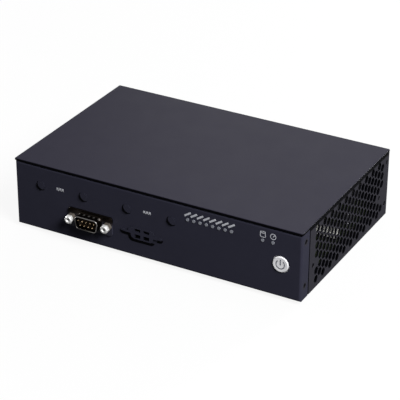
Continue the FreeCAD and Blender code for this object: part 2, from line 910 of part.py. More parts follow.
def serial_nuts():
    nuts = []
    for side in (-1, 1):
        x = port_x + side * jack_spacing / 2
        nut = hexagon(Vector(x, pan_sheet, port_z), 5.6, BACK, 2.2)
        nuts.append(nut.cut(rod_back(jack_stud_radius + 0.05, x, port_z, 0, 10)))
    return Part.makeCompound(nuts)


serial_header_y = 30.0
ribbon_width = 12.4


def serial_header():
    return cable_header(port_x, ribbon_width + 4, serial_header_y, board_top)


def flat_cable(width, x, start, target, radius, drop_angle):
    """A flat cable between two points (y, z): straight ends and an S down to the lower point."""
    slope = math.radians(drop_angle)
    drop = start[1] - target[1]
    straight = (drop - 2 * radius * (1 - math.cos(slope))) / math.sin(slope)
    used = 2 * radius * math.sin(slope) + straight * math.cos(slope)
    lead = (target[0] - start[0] - used) / 2
    moves = [(lead, 0), (radius, -drop_angle), (straight, 0), (radius, drop_angle), (lead, 0)]
    return swept_strip(width, cable_sheet, x, start, moves)


def serial_ribbon():
    start = (insulator_back, port_z)
    target = (serial_header_y, board_top + cable_entry)
    return flat_cable(ribbon_width, port_x, start, target, 8.0, 30.0)


def front_cable():
    start = (front_board_y + board_sheet + plug_depth, front_cable_z)
    target = (front_header_y, board_top + cable_entry)
    return flat_cable(front_cable_width, front_cable_x, start, target, 6.0, 45.0)


# --- rear sockets -------------------------------------------------------------------------------------
jack_size = (16.0, 21.0, 13.4)       # width, depth, height
twin_size = (13.2, 17.5, 15.6)
display_size = (15.0, 12.0, 6.4)
inlet_size = (10.0, 14.0, 11.0)
inlet_hole_radius = 3.2
inlet_pin_radius = 1.0


def rear_sockets():
    """(centre x, width, height) of every socket in the rear panel."""
    sockets = [(x, jack_size[0], jack_size[2]) for x in network_jack_x]
    sockets += [(x, twin_size[0], twin_size[2]) for x in twin_socket_x]
    sockets.append((display_x, display_size[0], display_size[2]))
    sockets.append((inlet_x, inlet_size[0], inlet_size[2]))
    return sockets


def socket_block(x, size):
    """A socket's outer block, on the board and just proud of the rear panel."""
    width, depth, height = size
    return box(x - width / 2, x + width / 2, socket_face - depth, socket_face, board_top, board_top + height)


def network_jack(x):
    """A shielded jack: a keyed mouth with two steps below for the plug's latch."""
    floor = board_top + 2.0
    half_widths = (1.8, 3.2, 5.9)
    heights = (0.0, 1.5, 3.0, 9.6)
    mouth_depth = 13.0
    outline_points = []
    for side in (1, -1):
        steps = []
        for level, half in enumerate(half_widths):
            steps.append(Vector(x + side * half, socket_face - mouth_depth, floor + heights[level]))
            steps.append(Vector(x + side * half, socket_face - mouth_depth, floor + heights[level + 1]))
        outline_points += steps if side == 1 else steps[::-1]
    mouth = outline(outline_points, BACK * (mouth_depth + 1))
    return rounded(socket_block(x, jack_size), 0.6, BACK).cut(mouth)


def twin_socket(x):
    """Two flat sockets, one above the other, in one metal shell."""
    cuts = []
    for level in (1.9, 9.1):
        z = board_top + level
        cuts.append(box(x - 6.1, x + 6.1, socket_face - 14, socket_face + 1, z, z + 4.8))
    return cut_all(rounded(socket_block(x, twin_size), 0.5, BACK), cuts)


def twin_socket_tongues():
    """The moulded tongues of both twin sockets."""
    tongues = []
    for x in twin_socket_x:
        for level in (1.9, 9.1):
            z = board_top + level
            tongues.append(box(x - 5.5, x + 5.5, socket_face - 14, socket_face - 2.4, z + 2.6, z + 4.2))
    return Part.makeCompound(tongues)


def display_mouth(y0, y1, shrink):
    """The display socket's opening: its two lower corners are cut off."""
    half = 7.0 - shrink
    low = board_top + 0.6 + shrink
    high = board_top + display_size[2] - 0.6 - shrink
    lower = half - 2.2
    points = [
        Vector(display_x - half, y0, high),
        Vector(display_x + half, y0, high),
        Vector(display_x + half, y0, low + 1.6),
        Vector(display_x + lower, y0, low),
        Vector(display_x - lower, y0, low),
        Vector(display_x - half, y0, low + 1.6),
    ]
    return outline(points, BACK * (y1 - y0))


def display_socket():
    return socket_block(display_x, display_size).cut(display_mouth(socket_face - 10, socket_face + 1, 0))


def display_tongue():
    middle = board_top + display_size[2] / 2 + 0.3
    return box(display_x - 5.2, display_x + 5.2, socket_face - 10, socket_face - 1.5, middle - 0.6, middle + 0.6)


inlet_z = board_top + 6.0


def power_inlet():
    """A moulded low-voltage inlet with a round mouth."""
    body = rounded(socket_block(inlet_x, inlet_size), 1.0, BACK, lambda centre: centre.z > board_top + 1)
    return body.cut(rod_back(inlet_hole_radius, inlet_x, inlet_z, socket_face - 10, socket_face + 1))


def power_inlet_pin():
    return rod_back(inlet_pin_radius, inlet_x, inlet_z, socket_face - 10, socket_face - 1)


# --- all pieces ---------------------------------------------------------------------------------------
def build():
    right_side = side_panel()
    pieces = {
        "front_panel": front_panel(),
        "rear_panel": rear_panel(),
        "side_panel_right": right_side,
        "side_panel_left": mirrored(right_side),
        "base_tray": base_tray(),
        "top_cover": top_cover(),
        "lid_brackets": lid_brackets(),
        "case_screws": case_screws(),
        "rubber_feet": rubber_feet(),
        "main_board": main_board(),
        "board_standoffs": board_standoffs(),
        "board_screws": board_screws(),
        "processor": processor(),
        "thermal_pad": thermal_pad(),
        "heatsink": heatsink(),
        "heatsink_screws": heatsink_screws(),
        "heatsink_nuts": heatsink_nuts(),
        "memory_socket": memory_socket(),
        "memory_module": memory_module(),
        "storage_socket": storage_socket(),
        "storage_card": storage_card(),
        "storage_screw": storage_screw(),
        "cell_holder": cell_holder(),
        "coin_cell": coin_cell(),
        "power_header": power_header(),
        "power_header_pins": power_header_pins(),
        "capacitors": capacitors(),
        "inductors": inductors(),
        "front_board": front_board(),
        "front_board_spacers": front_board_spacers(),
        "front_board_screws": front_board_screws(),
        "network_light_pipes": network_light_pipes(),
        "status_light_pipes": status_light_pipes(),
        "indicator_lamps": indicator_lamps(),
        "power_button": power_button(),
        "switch_plunger": switch_plunger(),
        "power_switch": power_switch(),
        "button_guide": button_guide(),
        "front_cable_plug": front_cable_plug(),
        "front_cable": front_cable(),
        "front_header": front_header(),
        "serial_shell": serial_shell(),
        "serial_insulator": serial_insulator(),
        "serial_pins": serial_pins(),
        "serial_jack_screws": serial_jack_screws(),
        "serial_nuts": serial_nuts(),
        "serial_header": serial_header(),
        "serial_ribbon": serial_ribbon(),
        "twin_socket_tongues": twin_socket_tongues(),
        "display_socket": display_socket(),
        "display_tongue": display_tongue(),
        "power_inlet": power_inlet(),
        "power_inlet_pin": power_inlet_pin(),
    }
    for number, x in enumerate(network_jack_x, start=1):
        pieces["network_jack_" + str(number)] = network_jack(x)
    for number, x in enumerate(twin_socket_x, start=1):
        pieces["twin_socket_" + str(number)] = twin_socket(x)
    return pieces


os.makedirs("parts", exist_ok=True)
for piece_name, piece_shape in build().items():
    write(piece_name, piece_shape)
    print(piece_name, "solids:", len(piece_shape.Solids), "valid:", piece_shape.isValid())
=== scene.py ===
# %% [markdown]
# A fanless industrial computer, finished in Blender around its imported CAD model. The CAD pieces are already
# the right shape and in the right place, so this lesson gives each of them a procedural finish, swaps the
# small turned and drawn parts for finer ones, prints the marks on the front, and lights the whole on a pale
# floor.

# %% Load the model
import json
import math

import bmesh
import bpy
import numpy as np
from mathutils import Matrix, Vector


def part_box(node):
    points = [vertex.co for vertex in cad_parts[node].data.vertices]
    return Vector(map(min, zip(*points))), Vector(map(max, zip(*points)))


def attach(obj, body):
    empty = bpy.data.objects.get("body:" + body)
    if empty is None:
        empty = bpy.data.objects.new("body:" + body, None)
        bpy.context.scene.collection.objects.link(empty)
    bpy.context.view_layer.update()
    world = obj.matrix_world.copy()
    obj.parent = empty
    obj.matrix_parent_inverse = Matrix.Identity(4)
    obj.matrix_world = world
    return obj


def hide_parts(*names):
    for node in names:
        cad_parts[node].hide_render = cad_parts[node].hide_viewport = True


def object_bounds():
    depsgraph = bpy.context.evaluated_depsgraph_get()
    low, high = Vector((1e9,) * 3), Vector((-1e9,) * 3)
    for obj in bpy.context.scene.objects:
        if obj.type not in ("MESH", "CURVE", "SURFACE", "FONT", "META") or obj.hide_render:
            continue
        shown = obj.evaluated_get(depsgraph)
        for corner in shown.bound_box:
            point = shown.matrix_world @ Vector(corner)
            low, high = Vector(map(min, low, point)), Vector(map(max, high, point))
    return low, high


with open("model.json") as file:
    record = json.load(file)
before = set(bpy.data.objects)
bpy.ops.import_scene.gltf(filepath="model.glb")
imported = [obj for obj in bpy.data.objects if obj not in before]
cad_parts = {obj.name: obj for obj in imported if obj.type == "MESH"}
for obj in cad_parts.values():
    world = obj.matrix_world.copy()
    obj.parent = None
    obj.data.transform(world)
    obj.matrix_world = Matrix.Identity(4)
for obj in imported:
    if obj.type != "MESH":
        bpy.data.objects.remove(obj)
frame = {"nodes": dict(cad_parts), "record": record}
cad_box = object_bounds()

# %% [markdown]
# Sizes are written in millimetres and turned into metres once. Places come from the boxes of the CAD nodes
# where they can, so that a piece still fits when the model changes. The front of the case is a flat sheet
# with half-sheared blanks standing proud of it, so its face lies a little behind the front of the panel's
# box.

# %% Places on the case
MM = 0.001
BLANK_RISE = 0.6
CASE, BUTTON = "casing", "button"
panel_low, panel_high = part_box("front_panel")
case_left, case_right = panel_low.x, panel_high.x
case_floor = panel_low.z
blank_face = panel_low.y
front_y = blank_face + BLANK_RISE * MM
rear_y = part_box("rear_panel")[1].y
lid_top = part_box("top_cover")[1].z
rim_height = panel_high.z


def on_front(x, z, out=0.0):
    """A point of the front face: x from the left side, z up from the floor of the case, out towards the
    viewer, all in millimetres. The arguments may be arrays."""
    x, z, out = np.broadcast_arrays(x, z, out)
    return np.stack([case_left + x * MM, front_y - out * MM, case_floor + z * MM], axis=-1)


print("case width %.1f mm" % ((case_right - case_left) / MM))

# %% [markdown]
# The camera comes first, because all the rest is judged through it. A long lens from about a metre away
# gives the weak perspective of a product picture, from the front right corner and well above. Three angles
# round the point that it looks at are easier to adjust than a rotation matrix.

# %% Camera
AIM = np.array([1.25, -3.50, 18.36]) * MM
AZIMUTH, ELEVATION, ROLL = 28.66, 28.17, 0.33
DISTANCE = 1.0415
LENS = 153.06


def camera_axes(azimuth, elevation, roll):
    """Right, up and backward directions of a camera that looks along +Y at azimuth 0, is lifted by the
    elevation, and is then turned by the roll about its own line of sight."""
    a, e, r = np.radians([azimuth, elevation, roll])
    back = np.array([math.sin(a) * math.cos(e), -math.cos(a) * math.cos(e), math.sin(e)])
    level = np.array([math.cos(a), math.sin(a), 0.0])
    above = np.cross(back, level)
    right = level * math.cos(r) + above * math.sin(r)
    return right, np.cross(back, right), back


def place(thing, position, right, up, back):
    """Puts an object at a position with its own x, y and z along three directions."""
    matrix = np.eye(4)
    matrix[:3, :3] = np.stack([right, up, back], axis=1)
    matrix[:3, 3] = position
    thing.matrix_world = matrix.T


right, up, back = camera_axes(AZIMUTH, ELEVATION, ROLL)
camera = bpy.data.objects.new("camera", bpy.data.cameras.new("camera"))
bpy.context.scene.collection.objects.link(camera)
camera.data.lens = LENS
camera.data.sensor_width = 36.0
camera.data.clip_start = 0.05
place(camera, AIM + back * DISTANCE, right, up, back)
bpy.context.scene.camera = camera
print("camera at", [round(v, 3) for v in AIM + back * DISTANCE])

# %% [markdown]
# The floor is one plain sheet, level with the feet. It is staged: it isn't a piece of the object.

# %% Floor and backdrop
FLOOR_SIZE = 6.0


def flat_sheet(name, size, height):
    """A square of the given side, level at the given height."""
    half = size / 2
    corners = np.array([[-half, -half], [half, -half], [half, half], [-half, half]])
    mesh = bpy.data.meshes.new(name)
    mesh.from_pydata(np.column_stack([corners, np.full(4, height)]), [], [(0, 1, 2, 3)])
    sheet = bpy.data.objects.new(name, mesh)
    bpy.context.scene.collection.objects.link(sheet)
    return sheet


floor = flat_sheet("floor", FLOOR_SIZE, cad_box[0].z)
print("floor:", FLOOR_SIZE, "m square")

# %% [markdown]
# A material is a graph of nodes, which is hard to read as a list of links. Shader maths reads best as
# arithmetic, so this class wraps one socket, and each operator adds the node that does the sum.


# %% Shader helper
class Wire:
    """One output of a node, with arithmetic on it."""

    def __init__(self, finish, socket):
        self.finish = finish
        self.socket = socket

    def math(self, operation, *values):
        """A Math node on this value and the others."""
        return self.finish.node("ShaderNodeMath", {"operation": operation}, *((self,) + values))

    def __add__(self, other):
        return self.math("ADD", other)

    def __sub__(self, other):
        return self.math("SUBTRACT", other)

    def __rsub__(self, other):
        return self.finish.node("ShaderNodeMath", {"operation": "SUBTRACT"}, other, self)

    def __mul__(self, other):
        return self.math("MULTIPLY", other)

    def __truediv__(self, other):
        return self.math("DIVIDE", other)

    __radd__ = __add__
    __rmul__ = __mul__

    def fraction(self):
        """The part after the point, which repeats from 0 to 1 as the value grows."""
        return self.math("FRACT")

    def distance(self):
        """How far the value is from 0."""
        return self.math("ABSOLUTE")

    def above(self, level, soft):
        """0 below the level and 1 above it, with a smooth step of the given width between."""
        span = (level - soft / 2, level + soft / 2, 0.0, 1.0)
        return self.finish.node("ShaderNodeMapRange", {"interpolation_type": "SMOOTHSTEP"}, self, *span)

    def __or__(self, other):
        """Either of two masks."""
        return self.math("MAXIMUM", other)

    def __and__(self, other):
        """Both of two masks."""
        return self.math("MINIMUM", other)


class Finish:
    """A material built on one Principled shader."""

    def __init__(self, name, colour, roughness, metallic=0.0, **constants):
        self.material = bpy.data.materials.new(name)
        self.material.use_nodes = True
        self.tree = self.material.node_tree
        self.shader = self.tree.nodes["Principled BSDF"]
        self.colour = colour
        self.set("Base Color", (*colour, 1.0))
        self.set("Roughness", roughness)
        self.set("Metallic", metallic)
        for label, value in constants.items():
            self.set(label.replace("_", " "), value)

    def set(self, label, value):
        """Gives a socket of the shader a value or a wire."""
        socket = self.shader.inputs[label]
        if isinstance(value, Wire):
            self.tree.links.new(value.socket, socket)
        else:
            socket.default_value = value

    def node(self, kind, settings, *values, output=0, **named):
        """Adds a node, sets its options, fills its sockets in order or by name, and wires one output."""
        made = self.tree.nodes.new(kind)
        for option, choice in settings.items():
            setattr(made, option, choice)
        sockets = list(zip(made.inputs, values))
        sockets += [(made.inputs[label.replace("_", " ")], value) for label, value in named.items()]
        for socket, value in sockets:
            if isinstance(value, Wire):
                self.tree.links.new(value.socket, socket)
            else:
                socket.default_value = value
        return Wire(self, made.outputs[output])

    def place(self):
        """Where a point is in the object's own frame, in metres."""
        return self.node("ShaderNodeTexCoord", {}, output="Object")

    def axes(self):
        """The x, y and z of that place."""
        place = self.place()
        split = self.tree.nodes.new("ShaderNodeSeparateXYZ")
        self.tree.links.new(place.socket, split.inputs[0])
        return [Wire(self, split.outputs[label]) for label in "XYZ"]

    def noise(self, size, detail=3.0, stretch=(1.0, 1.0, 1.0)):
        """Cloudy noise with features of about the given size in millimetres, drawn out along an axis where
        its stretch is above 1."""
        scale = [1.0 / (size * MM * s) for s in stretch]
        place = self.node("ShaderNodeVectorMath", {"operation": "MULTIPLY"}, self.place(), scale)
        return self.node("ShaderNodeTexNoise", {}, Vector=place, Scale=1.0, Detail=detail)

    def blend(self, amount, first, second):
        """One colour turning into another as the amount goes from 0 to 1."""
        made = self.tree.nodes.new("ShaderNodeMix")
        made.data_type = "RGBA"
        for label, value in ((0, amount), (6, first), (7, second)):
            if isinstance(value, Wire):
                self.tree.links.new(value.socket, made.inputs[label])
            else:
                made.inputs[label].default_value = value if label == 0 else (*value, 1.0)
        return Wire(self, made.outputs[2])

    def bump(self, height, depth, strength=1.0):
        """Raises the surface by up to the depth, in millimetres, where the height is 1."""
        relief = self.node("ShaderNodeBump", {}, Strength=strength, Distance=depth * MM, Height=height)
        self.set("Normal", relief)

    def drift(self, amount, share):
        """The colour, from a share darker than itself to a share lighter as the amount goes from 0 to 1."""
        darker = [c * (1 - share) for c in self.colour]
        lighter = [c * (1 + share) for c in self.colour]
        return self.blend(amount, darker, lighter)


print("shader helper ready")

# %% [markdown]
# The floor should look white and keep the shadow of the case. Stronger lamps would bleach the case too. So
# Light Path tells which kind of ray is asking: the camera sees a steady glow on top of a dark grey that
# takes the shadow, and no glow reaches the case. The world is white to the camera, dim to glossy rays, and
# almost dark as a lamp.

# %% White floor and world
FLOOR_GREY = 0.05
FLOOR_GLOW = 0.90
WORLD_LIGHT = 0.05
WORLD_SHEEN = 0.25


def ray_is(tree, *labels):
    """1 where the asking ray is of one of the kinds named, and 0 elsewhere."""
    path = tree.nodes.new("ShaderNodeLightPath")
    total = path.outputs[labels[0]]
    for label in labels[1:]:
        larger = tree.nodes.new("ShaderNodeMath")
        larger.operation = "MAXIMUM"
        tree.links.new(total, larger.inputs[0])
        tree.links.new(path.outputs[label], larger.inputs[1])
        total = larger.outputs[0]
    return total


def between(tree, amount, low, high):
    """A socket that goes from low to high as the amount goes from 0 to 1."""
    span = tree.nodes.new("ShaderNodeMapRange")
    tree.links.new(amount, span.inputs["Value"])
    for label, value in (("To Min", low), ("To Max", high)):
        if isinstance(value, float):
            span.inputs[label].default_value = value
        else:
            tree.links.new(value, span.inputs[label])
    return span.outputs[0]


floor_finish = Finish("pale_floor", (FLOOR_GREY, FLOOR_GREY, FLOOR_GREY), 0.9)
tree = floor_finish.tree
floor_finish.set("Emission Color", (1.0, 1.0, 1.0, 1.0))
glow = between(tree, ray_is(tree, "Is Camera Ray", "Is Transmission Ray"), 0.0, FLOOR_GLOW)
tree.links.new(glow, floor_finish.shader.inputs["Emission Strength"])
floor.data.materials.append(floor_finish.material)

world = bpy.data.worlds.new("studio")
bpy.context.scene.world = world
world.use_nodes = True
tree = world.node_tree
sky = tree.nodes["Background"]
sheen = between(tree, ray_is(tree, "Is Glossy Ray"), WORLD_LIGHT, WORLD_SHEEN)
strength = between(tree, ray_is(tree, "Is Camera Ray", "Is Transmission Ray"), sheen, 1.0)
tree.links.new(strength, sky.inputs["Strength"])
sky.inputs["Color"].default_value = (1.0, 1.0, 1.0, 1.0)
bpy.context.scene.view_settings.view_transform = "Standard"
print("floor and world ready")

# %% [markdown]
# The case is nearly black, so where a soft lamp stands matters more than its power. The key, high on the
# right, lights the lid and the right side, and only grazes the front. The lid mirrors a weak lamp behind,
# which gives it a broad sheen. Two low fills show the left side and the rear. Each row below holds a
# direction, a distance and a size in metres, and a power in watts.

# %% Lamps
LAMPS = {
    "key": ((1.0, -0.52, 1.05), 1.3, 0.5, 25.0),
    "back": ((-0.397, 1.01, 0.579), 1.2, 0.5, 1.3),
    "left fill": ((-1.0, 0.0, 0.16), 1.4, 0.3, 13.0),
    "rear fill": ((0.25, 1.0, 0.14), 1.4, 0.3, 13.0),
}


def softbox(name, direction, distance, size, power):
    """A square area lamp that faces the middle of the case from the given direction."""
    lamp = bpy.data.objects.new(name, bpy.data.lights.new(name, "AREA"))
    bpy.context.scene.collection.objects.link(lamp)
    lamp.data.size = size
    lamp.data.energy = power
    away = np.array(direction) / np.linalg.norm(direction)
    sideways = np.cross([0.0, 0.0, 1.0], away)
    sideways /= np.linalg.norm(sideways)
    middle = np.array([0.0, 0.0, lid_top / 2])
    place(lamp, middle + away * distance, sideways, np.cross(away, sideways), away)


for lamp_name, lamp_shape in LAMPS.items():
    softbox(lamp_name, *lamp_shape)
print("lamps:", sorted(LAMPS))

# %% [markdown]
# The case is powder coated: a baked satin film with a fine orange-peel skin, nearly black with a touch of
# blue. One flat colour would look like card, so two noises in the bump make the skin, a third lets the gloss
# drift, and a fourth the colour.

# %% Powder coat
CASE_COAT = (0.031, 0.030, 0.038)
LID_COAT = (0.0245, 0.0232, 0.0365)
FRONT_COAT = (0.030, 0.030, 0.047)
# SHADE is painted shade: the near-black that the masks put on inner faces, cut edges and the walls of holes,
# and in the painted shadows below the blanks.
SHADE = (0.002, 0.002, 0.003)
COAT_ROUGHNESS, COAT_SHEEN = 0.42, 0.07


def powder_coat(name, coat=CASE_COAT, mask_of=None, drift=0.07):
    """The coat, and painted shade, almost black, where the mask, worked out from the place of a point, is 0.
    """
    paint = Finish(name, coat, COAT_ROUGHNESS, Specular_IOR_Level=COAT_SHEEN)
    paint.set("Roughness", paint.noise(14.0, 2.0) * 0.08 + (COAT_ROUGHNESS - 0.04))
    paint.bump(paint.noise(0.35, 2.0) + paint.noise(1.1, 2.0), 0.006, 0.5)
    colour = paint.drift(paint.noise(9.0), drift)
    if mask_of is not None:
        colour = paint.blend(mask_of(*paint.axes()), SHADE, colour)
    paint.set("Base Color", colour)
    return paint.material


case_paint = powder_coat("powder_coat", drift=0.08)
print("powder coat ready")

# %% [markdown]
# Each sheet shows its coat on its outside. Cut edges, the walls of holes and the inner faces get painted
# shade, almost black, which makes a gap or a hole read as deep. Rather than pick out those faces one by one,
# a mask compares the place of a point with the faces of the sheet.

# %% Masks of the sheets
SKIN = 0.05
LID_EDGE = 0.12
# RIM_DARK is the height of the band of painted shadow along the top of each side, under the lid.
RIM_DARK = 1.5
RECESS_DARK = 0.12


def lid_face(x, y, z):
    """The lid is coated on its top, with painted shade, almost black, on its cut edge."""
    return z.above(lid_top - LID_EDGE * MM, 0.1 * MM)


def side_face(x, y, z):
    """A side is coated outside; the walls of its holes, its inner face and a band along its top edge, under
    the lid, get painted shade.
    """
    outside = x.distance().above(case_right - SKIN * MM, 0.03 * MM)
    return outside & (1.0 - z.above(rim_height - RIM_DARK * MM, 0.2 * MM))


def screw_face(x, y, z):
    """A screw in the side is coated on its flush face, with painted shade, almost black, in its recess."""
    return x.distance().above(case_right - RECESS_DARK * MM, 0.1 * MM)


def rear_face(x, y, z):
    """The rear pan shows its coat on its outer face, and painted shade on its other faces."""
    return y.above(rear_y - SKIN * MM, 0.03 * MM)


def floor_face(x, y, z):
    """The base tray shows its coat underneath and on its rear edge, and painted shade inside."""
    return 1.0 - (z - case_floor).above(SKIN * MM, 0.03 * MM)


lid_paint = powder_coat("powder_coat_lid", LID_COAT, lid_face)
side_paint = powder_coat("powder_coat_side", mask_of=side_face)
screw_black = powder_coat("coated_screw", mask_of=screw_face)
rear_paint = powder_coat("powder_coat_rear", mask_of=rear_face)
floor_paint = powder_coat("powder_coat_floor", mask_of=floor_face)
print("sheet finishes ready")

# %% [markdown]
# The front has four round blanks, and one in the shape of a second port. They are punched half through the
# sheet and stand a little proud. Along their lower left edges the shadows that they cast are painted, as a
# part of the mask: the points that lie within an outline, but not within the same outline moved up and to
# the right.

# %% Painted shadows round the blanks
DISC_START, DISC_PITCH, DISC_HEIGHT, DISC_COUNT = 18.2, 30.15, 30.45, 4
DISC_SHADOW, DISC_CLEAR, DISC_SHIFT = 3.4, 4.09, 1.83
SPARE_PORT = (88.2, 15.7)
JACK_HALF, EAR = 12.2, 2.75
DEE_HALF, DEE_LOW, DEE_CORNER, DEE_SLOPE = 9.7, -6.1, 2.4, 0.176
PORT_SHIFT = (2.0, 2.3)
SLOT_OFFSET, SLOT_APART, SLOT_HALF = 0.6, 3.0, 1.8
SLOT_ROWS = ((2.1, 0.85), (-1.8, 1.05))


def inside(x, z, radius):
    """1 within a circle round the origin. Where x or z is held at 0, the circle is drawn out along that
    axis."""
    return 1.0 - (x * x + z * z).above(radius * radius, radius * 0.3)


def within(value, half):
    """1 where the value is nearer to 0 than the half width."""
    return 1.0 - value.distance().above(half, 0.2)


def port_outline(x, z):
    """1 within the outline of a D with round lower corners, or of the two ears for its jack screws."""
    side = (x.distance() - z * DEE_SLOPE - DEE_HALF + DEE_CORNER).math("MAXIMUM", 0.0)
    below = (DEE_LOW + DEE_CORNER - z).math("MAXIMUM", 0.0)
    ear = (x.distance() - JACK_HALF).math("MAXIMUM", 0.0)
    return inside(side, below, DEE_CORNER) | inside(ear, z, EAR)


def disc_shadows(across, height):
    """The painted shadows of the discs. The row is one disc, repeated: the place across is folded into one
    step of the row.
    """
    x = (((across - DISC_START) / DISC_PITCH + 0.5).fraction() - 0.5) * DISC_PITCH
    z = height - DISC_HEIGHT
    row = 1.0 - across.above(DISC_START + (DISC_COUNT - 0.5) * DISC_PITCH, 1.0)
    return inside(x, z, DISC_SHADOW) & (1.0 - inside(x - DISC_SHIFT, z - DISC_SHIFT, DISC_CLEAR)) & row


def port_shadows(across, height):
    """The painted shadow below the port's blank, and painted shade round each of its four slots."""
    x, z = across - SPARE_PORT[0], height - SPARE_PORT[1]
    clear = port_outline(x - PORT_SHIFT[0], z - PORT_SHIFT[1])
    shadow = port_outline(x, z) & (1.0 - clear) & (1.0 - z.above(-0.2, 0.6))
    column = within((x - SLOT_OFFSET).distance() - SLOT_APART, SLOT_HALF)
    upper, lower = [within(z - middle, half) for middle, half in SLOT_ROWS]
    return shadow | (column & (upper | lower))


print("blanks:", DISC_COUNT, "discs and one port")

# %% [markdown]
# The front pan gets painted shade inside and on the walls of its holes, painted shadows below its blanks,
# and a little painted shade on the sheared edges of its blanks.

# %% Front finish
PAN_SHEET = 1.2
# How much painted shade the sheared edges of the blanks get.
SHEAR_SHADE = 0.7


def front_face(x, y, z):
    """1 on the outer face of the front pan, less, as painted shade, on the sheared edges of its blanks, and 0
    inside and in the painted shadows.
    """
    deep = 0.9 * PAN_SHEET * MM
    hidden = (y - front_y).above(deep, 0.1 * MM) & (case_right - x.distance()).above(deep, 0.1 * MM)
    hidden = hidden & (z - case_floor).above(deep, 0.1 * MM)
    sheared = (front_y - y).above(0.08 * MM, 0.06 * MM) & (y - blank_face).above(0.08 * MM, 0.06 * MM)
    across, height = (x - case_left) / MM, (z - case_floor) / MM
    # Painted shadows below the blanks, and painted shade round the port's slots.
    shadowed = disc_shadows(across, height) | port_shadows(across, height)
    return 1.0 - (hidden | (sheared * SHEAR_SHADE) | shadowed)


front_paint = powder_coat("powder_coat_front", FRONT_COAT, front_face)
print("front finish ready")

# %% [markdown]
# A metal in one flat grey looks like plastic, because real sheet and wire keep the faint streaks of rolling
# and drawing. So every metal gets a noise that is drawn out along one axis, in its colour, gloss and relief.


# %% Metal finishes
def brushed(metal, roughness, streak=(14.0, 1.0, 1.0)):
    """Gives a metal fine streaks in its gloss and relief, drawn out along an axis."""
    streaks = metal.noise(0.25, 3.0, streak)
    metal.set("Roughness", streaks * 0.16 + (roughness - 0.06))
    metal.bump(streaks, 0.004, 0.4)
    return streaks


def plated(name, colour, roughness, streak=(14.0, 1.0, 1.0), wear=0.06):
    """A brushed metal whose colour follows the streaks too."""
    metal = Finish(name, colour, roughness, 1.0)
    streaks = brushed(metal, roughness, streak)
    metal.set("Base Color", metal.drift(streaks, wear))
    return metal.material


zinc = plated("zinc_plate", (0.62, 0.63, 0.66), 0.34)
satin_steel = plated("satin_steel", (0.70, 0.70, 0.70), 0.28, (1.0, 14.0, 1.0))
nickel = plated("nickel_plate", (0.66, 0.64, 0.60), 0.26)
pin_metal = plated("pin_plate", (0.25, 0.18, 0.11), 0.35, (1.0, 6.0, 1.0), 0.03)
brass = plated("turned_brass", (0.72, 0.54, 0.25), 0.26, (1.0, 1.0, 0.2))
gold = plated("gold_flash", (0.84, 0.62, 0.27), 0.22, (1.0, 6.0, 1.0), 0.03)
can_metal = plated("capacitor_can", (0.14, 0.14, 0.15), 0.5, (6.0, 6.0, 1.0))
anodised = plated("black_anodising", (0.045, 0.045, 0.05), 0.45, (20.0, 1.0, 1.0))
print("metal finishes ready")

# %% [markdown]
# The serial port shows most of the metal, so its sheet and posts get finishes of their own. The sheet's colour
# is a dark brown, a painted reflection of the dark room it mirrors, with painted highlights on its rim, mostly
# at the upper right, and in its dimples. The lower part of its flange has the front's coat colour. The posts
# are bright at their tips, with painted shade towards their roots.

# %% Port finishes
# The sheet's dark painted reflection, and its painted highlight on the rim and in the dimples.
DARK_REFLECTION, HIGHLIGHT = (0.022, 0.017, 0.014), (0.72, 0.70, 0.67)
FLANGE_PAINT = 1.0
# How far back from the rim the painted highlight reaches.
RIM_HIGHLIGHT = 0.55
DIMPLE_PITCH, DIMPLE_OUT = 3.4, 2.2
POST_BRIGHT = 2.2
# The bright tip of a post, and the painted shade towards its root.
POST_TIP, POST_ROOT_SHADE = (0.93, 0.93, 0.92), (0.16, 0.14, 0.12)
port_low, port_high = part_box("serial_shell")
port_middle_x = (port_low.x + port_high.x) / 2
port_middle_z = (port_low.z + port_high.z) / 2


def port_metal():
    """A painted dark reflection, with painted highlights on the rim and in the dimples, which repeat along the
    top of the skirt.
    """
    metal = Finish("port_sheet", DARK_REFLECTION, 0.30, 1.0)
    x, y, z = metal.axes()
    from_middle, rise = x - port_middle_x, z - port_middle_z
    upper_right = (from_middle * 0.5 + rise).above(-2.5 * MM, 4.0 * MM)
    rim = (1.0 - y.above(port_low.y + RIM_HIGHLIGHT * MM, 0.3 * MM)) * (upper_right * 0.75 + 0.25)
    across = ((from_middle / (DIMPLE_PITCH * MM) + 0.5).fraction() - 0.5) * DIMPLE_PITCH
    along = (y - (front_y - DIMPLE_OUT * MM)) / MM
    dimple = 1.0 - (across * across + along * along).above(0.5, 0.6)
    reflected = metal.blend(rim | (dimple * 0.8), DARK_REFLECTION, HIGHLIGHT)
    flange = (y - front_y).above(-FLANGE_PAINT * MM, 0.1 * MM)
    painted = flange & (1.0 - rise.above(2.0 * MM, 5.0 * MM))
    metal.set("Base Color", metal.blend(painted, reflected, FRONT_COAT))
    metal.set("Metallic", 1.0 - painted)
    brushed(metal, 0.32)
    return metal.material


def post_finish():
    """Bright at the front end of a post, with painted shade towards its root."""
    metal = Finish("post_plate", (0.9, 0.9, 0.9), 0.45, 0.5)
    y = metal.axes()[1]
    root_shade = (y - port_low.y).above(POST_BRIGHT * MM, 1.4 * MM)
    metal.set("Base Color", metal.blend(root_shade, POST_TIP, POST_ROOT_SHADE))
    brushed(metal, 0.46, (1.0, 6.0, 1.0))
    return metal.material


port_sheet = port_metal()
post_metal = post_finish()
print("port finishes ready")

# %% [markdown]
# Plastics and rubber: moulded black parts have a fine spark texture, the white ones a smoother skin, and
# rubber is duller with a coarser grain.


# %% Plastic finishes
def moulded(name, colour, roughness, grain=0.4, depth=0.01, **constants):
    """A plastic with a grain of the given size and depth in millimetres."""
    plastic = Finish(name, colour, roughness, **constants)
    plastic.set("Base Color", plastic.drift(plastic.noise(4.0), 0.05))
    plastic.set("Roughness", plastic.noise(2.0, 2.0) * 0.10 + (roughness - 0.05))
    plastic.bump(plastic.noise(grain, 3.0), depth, 0.5)
    return plastic.material


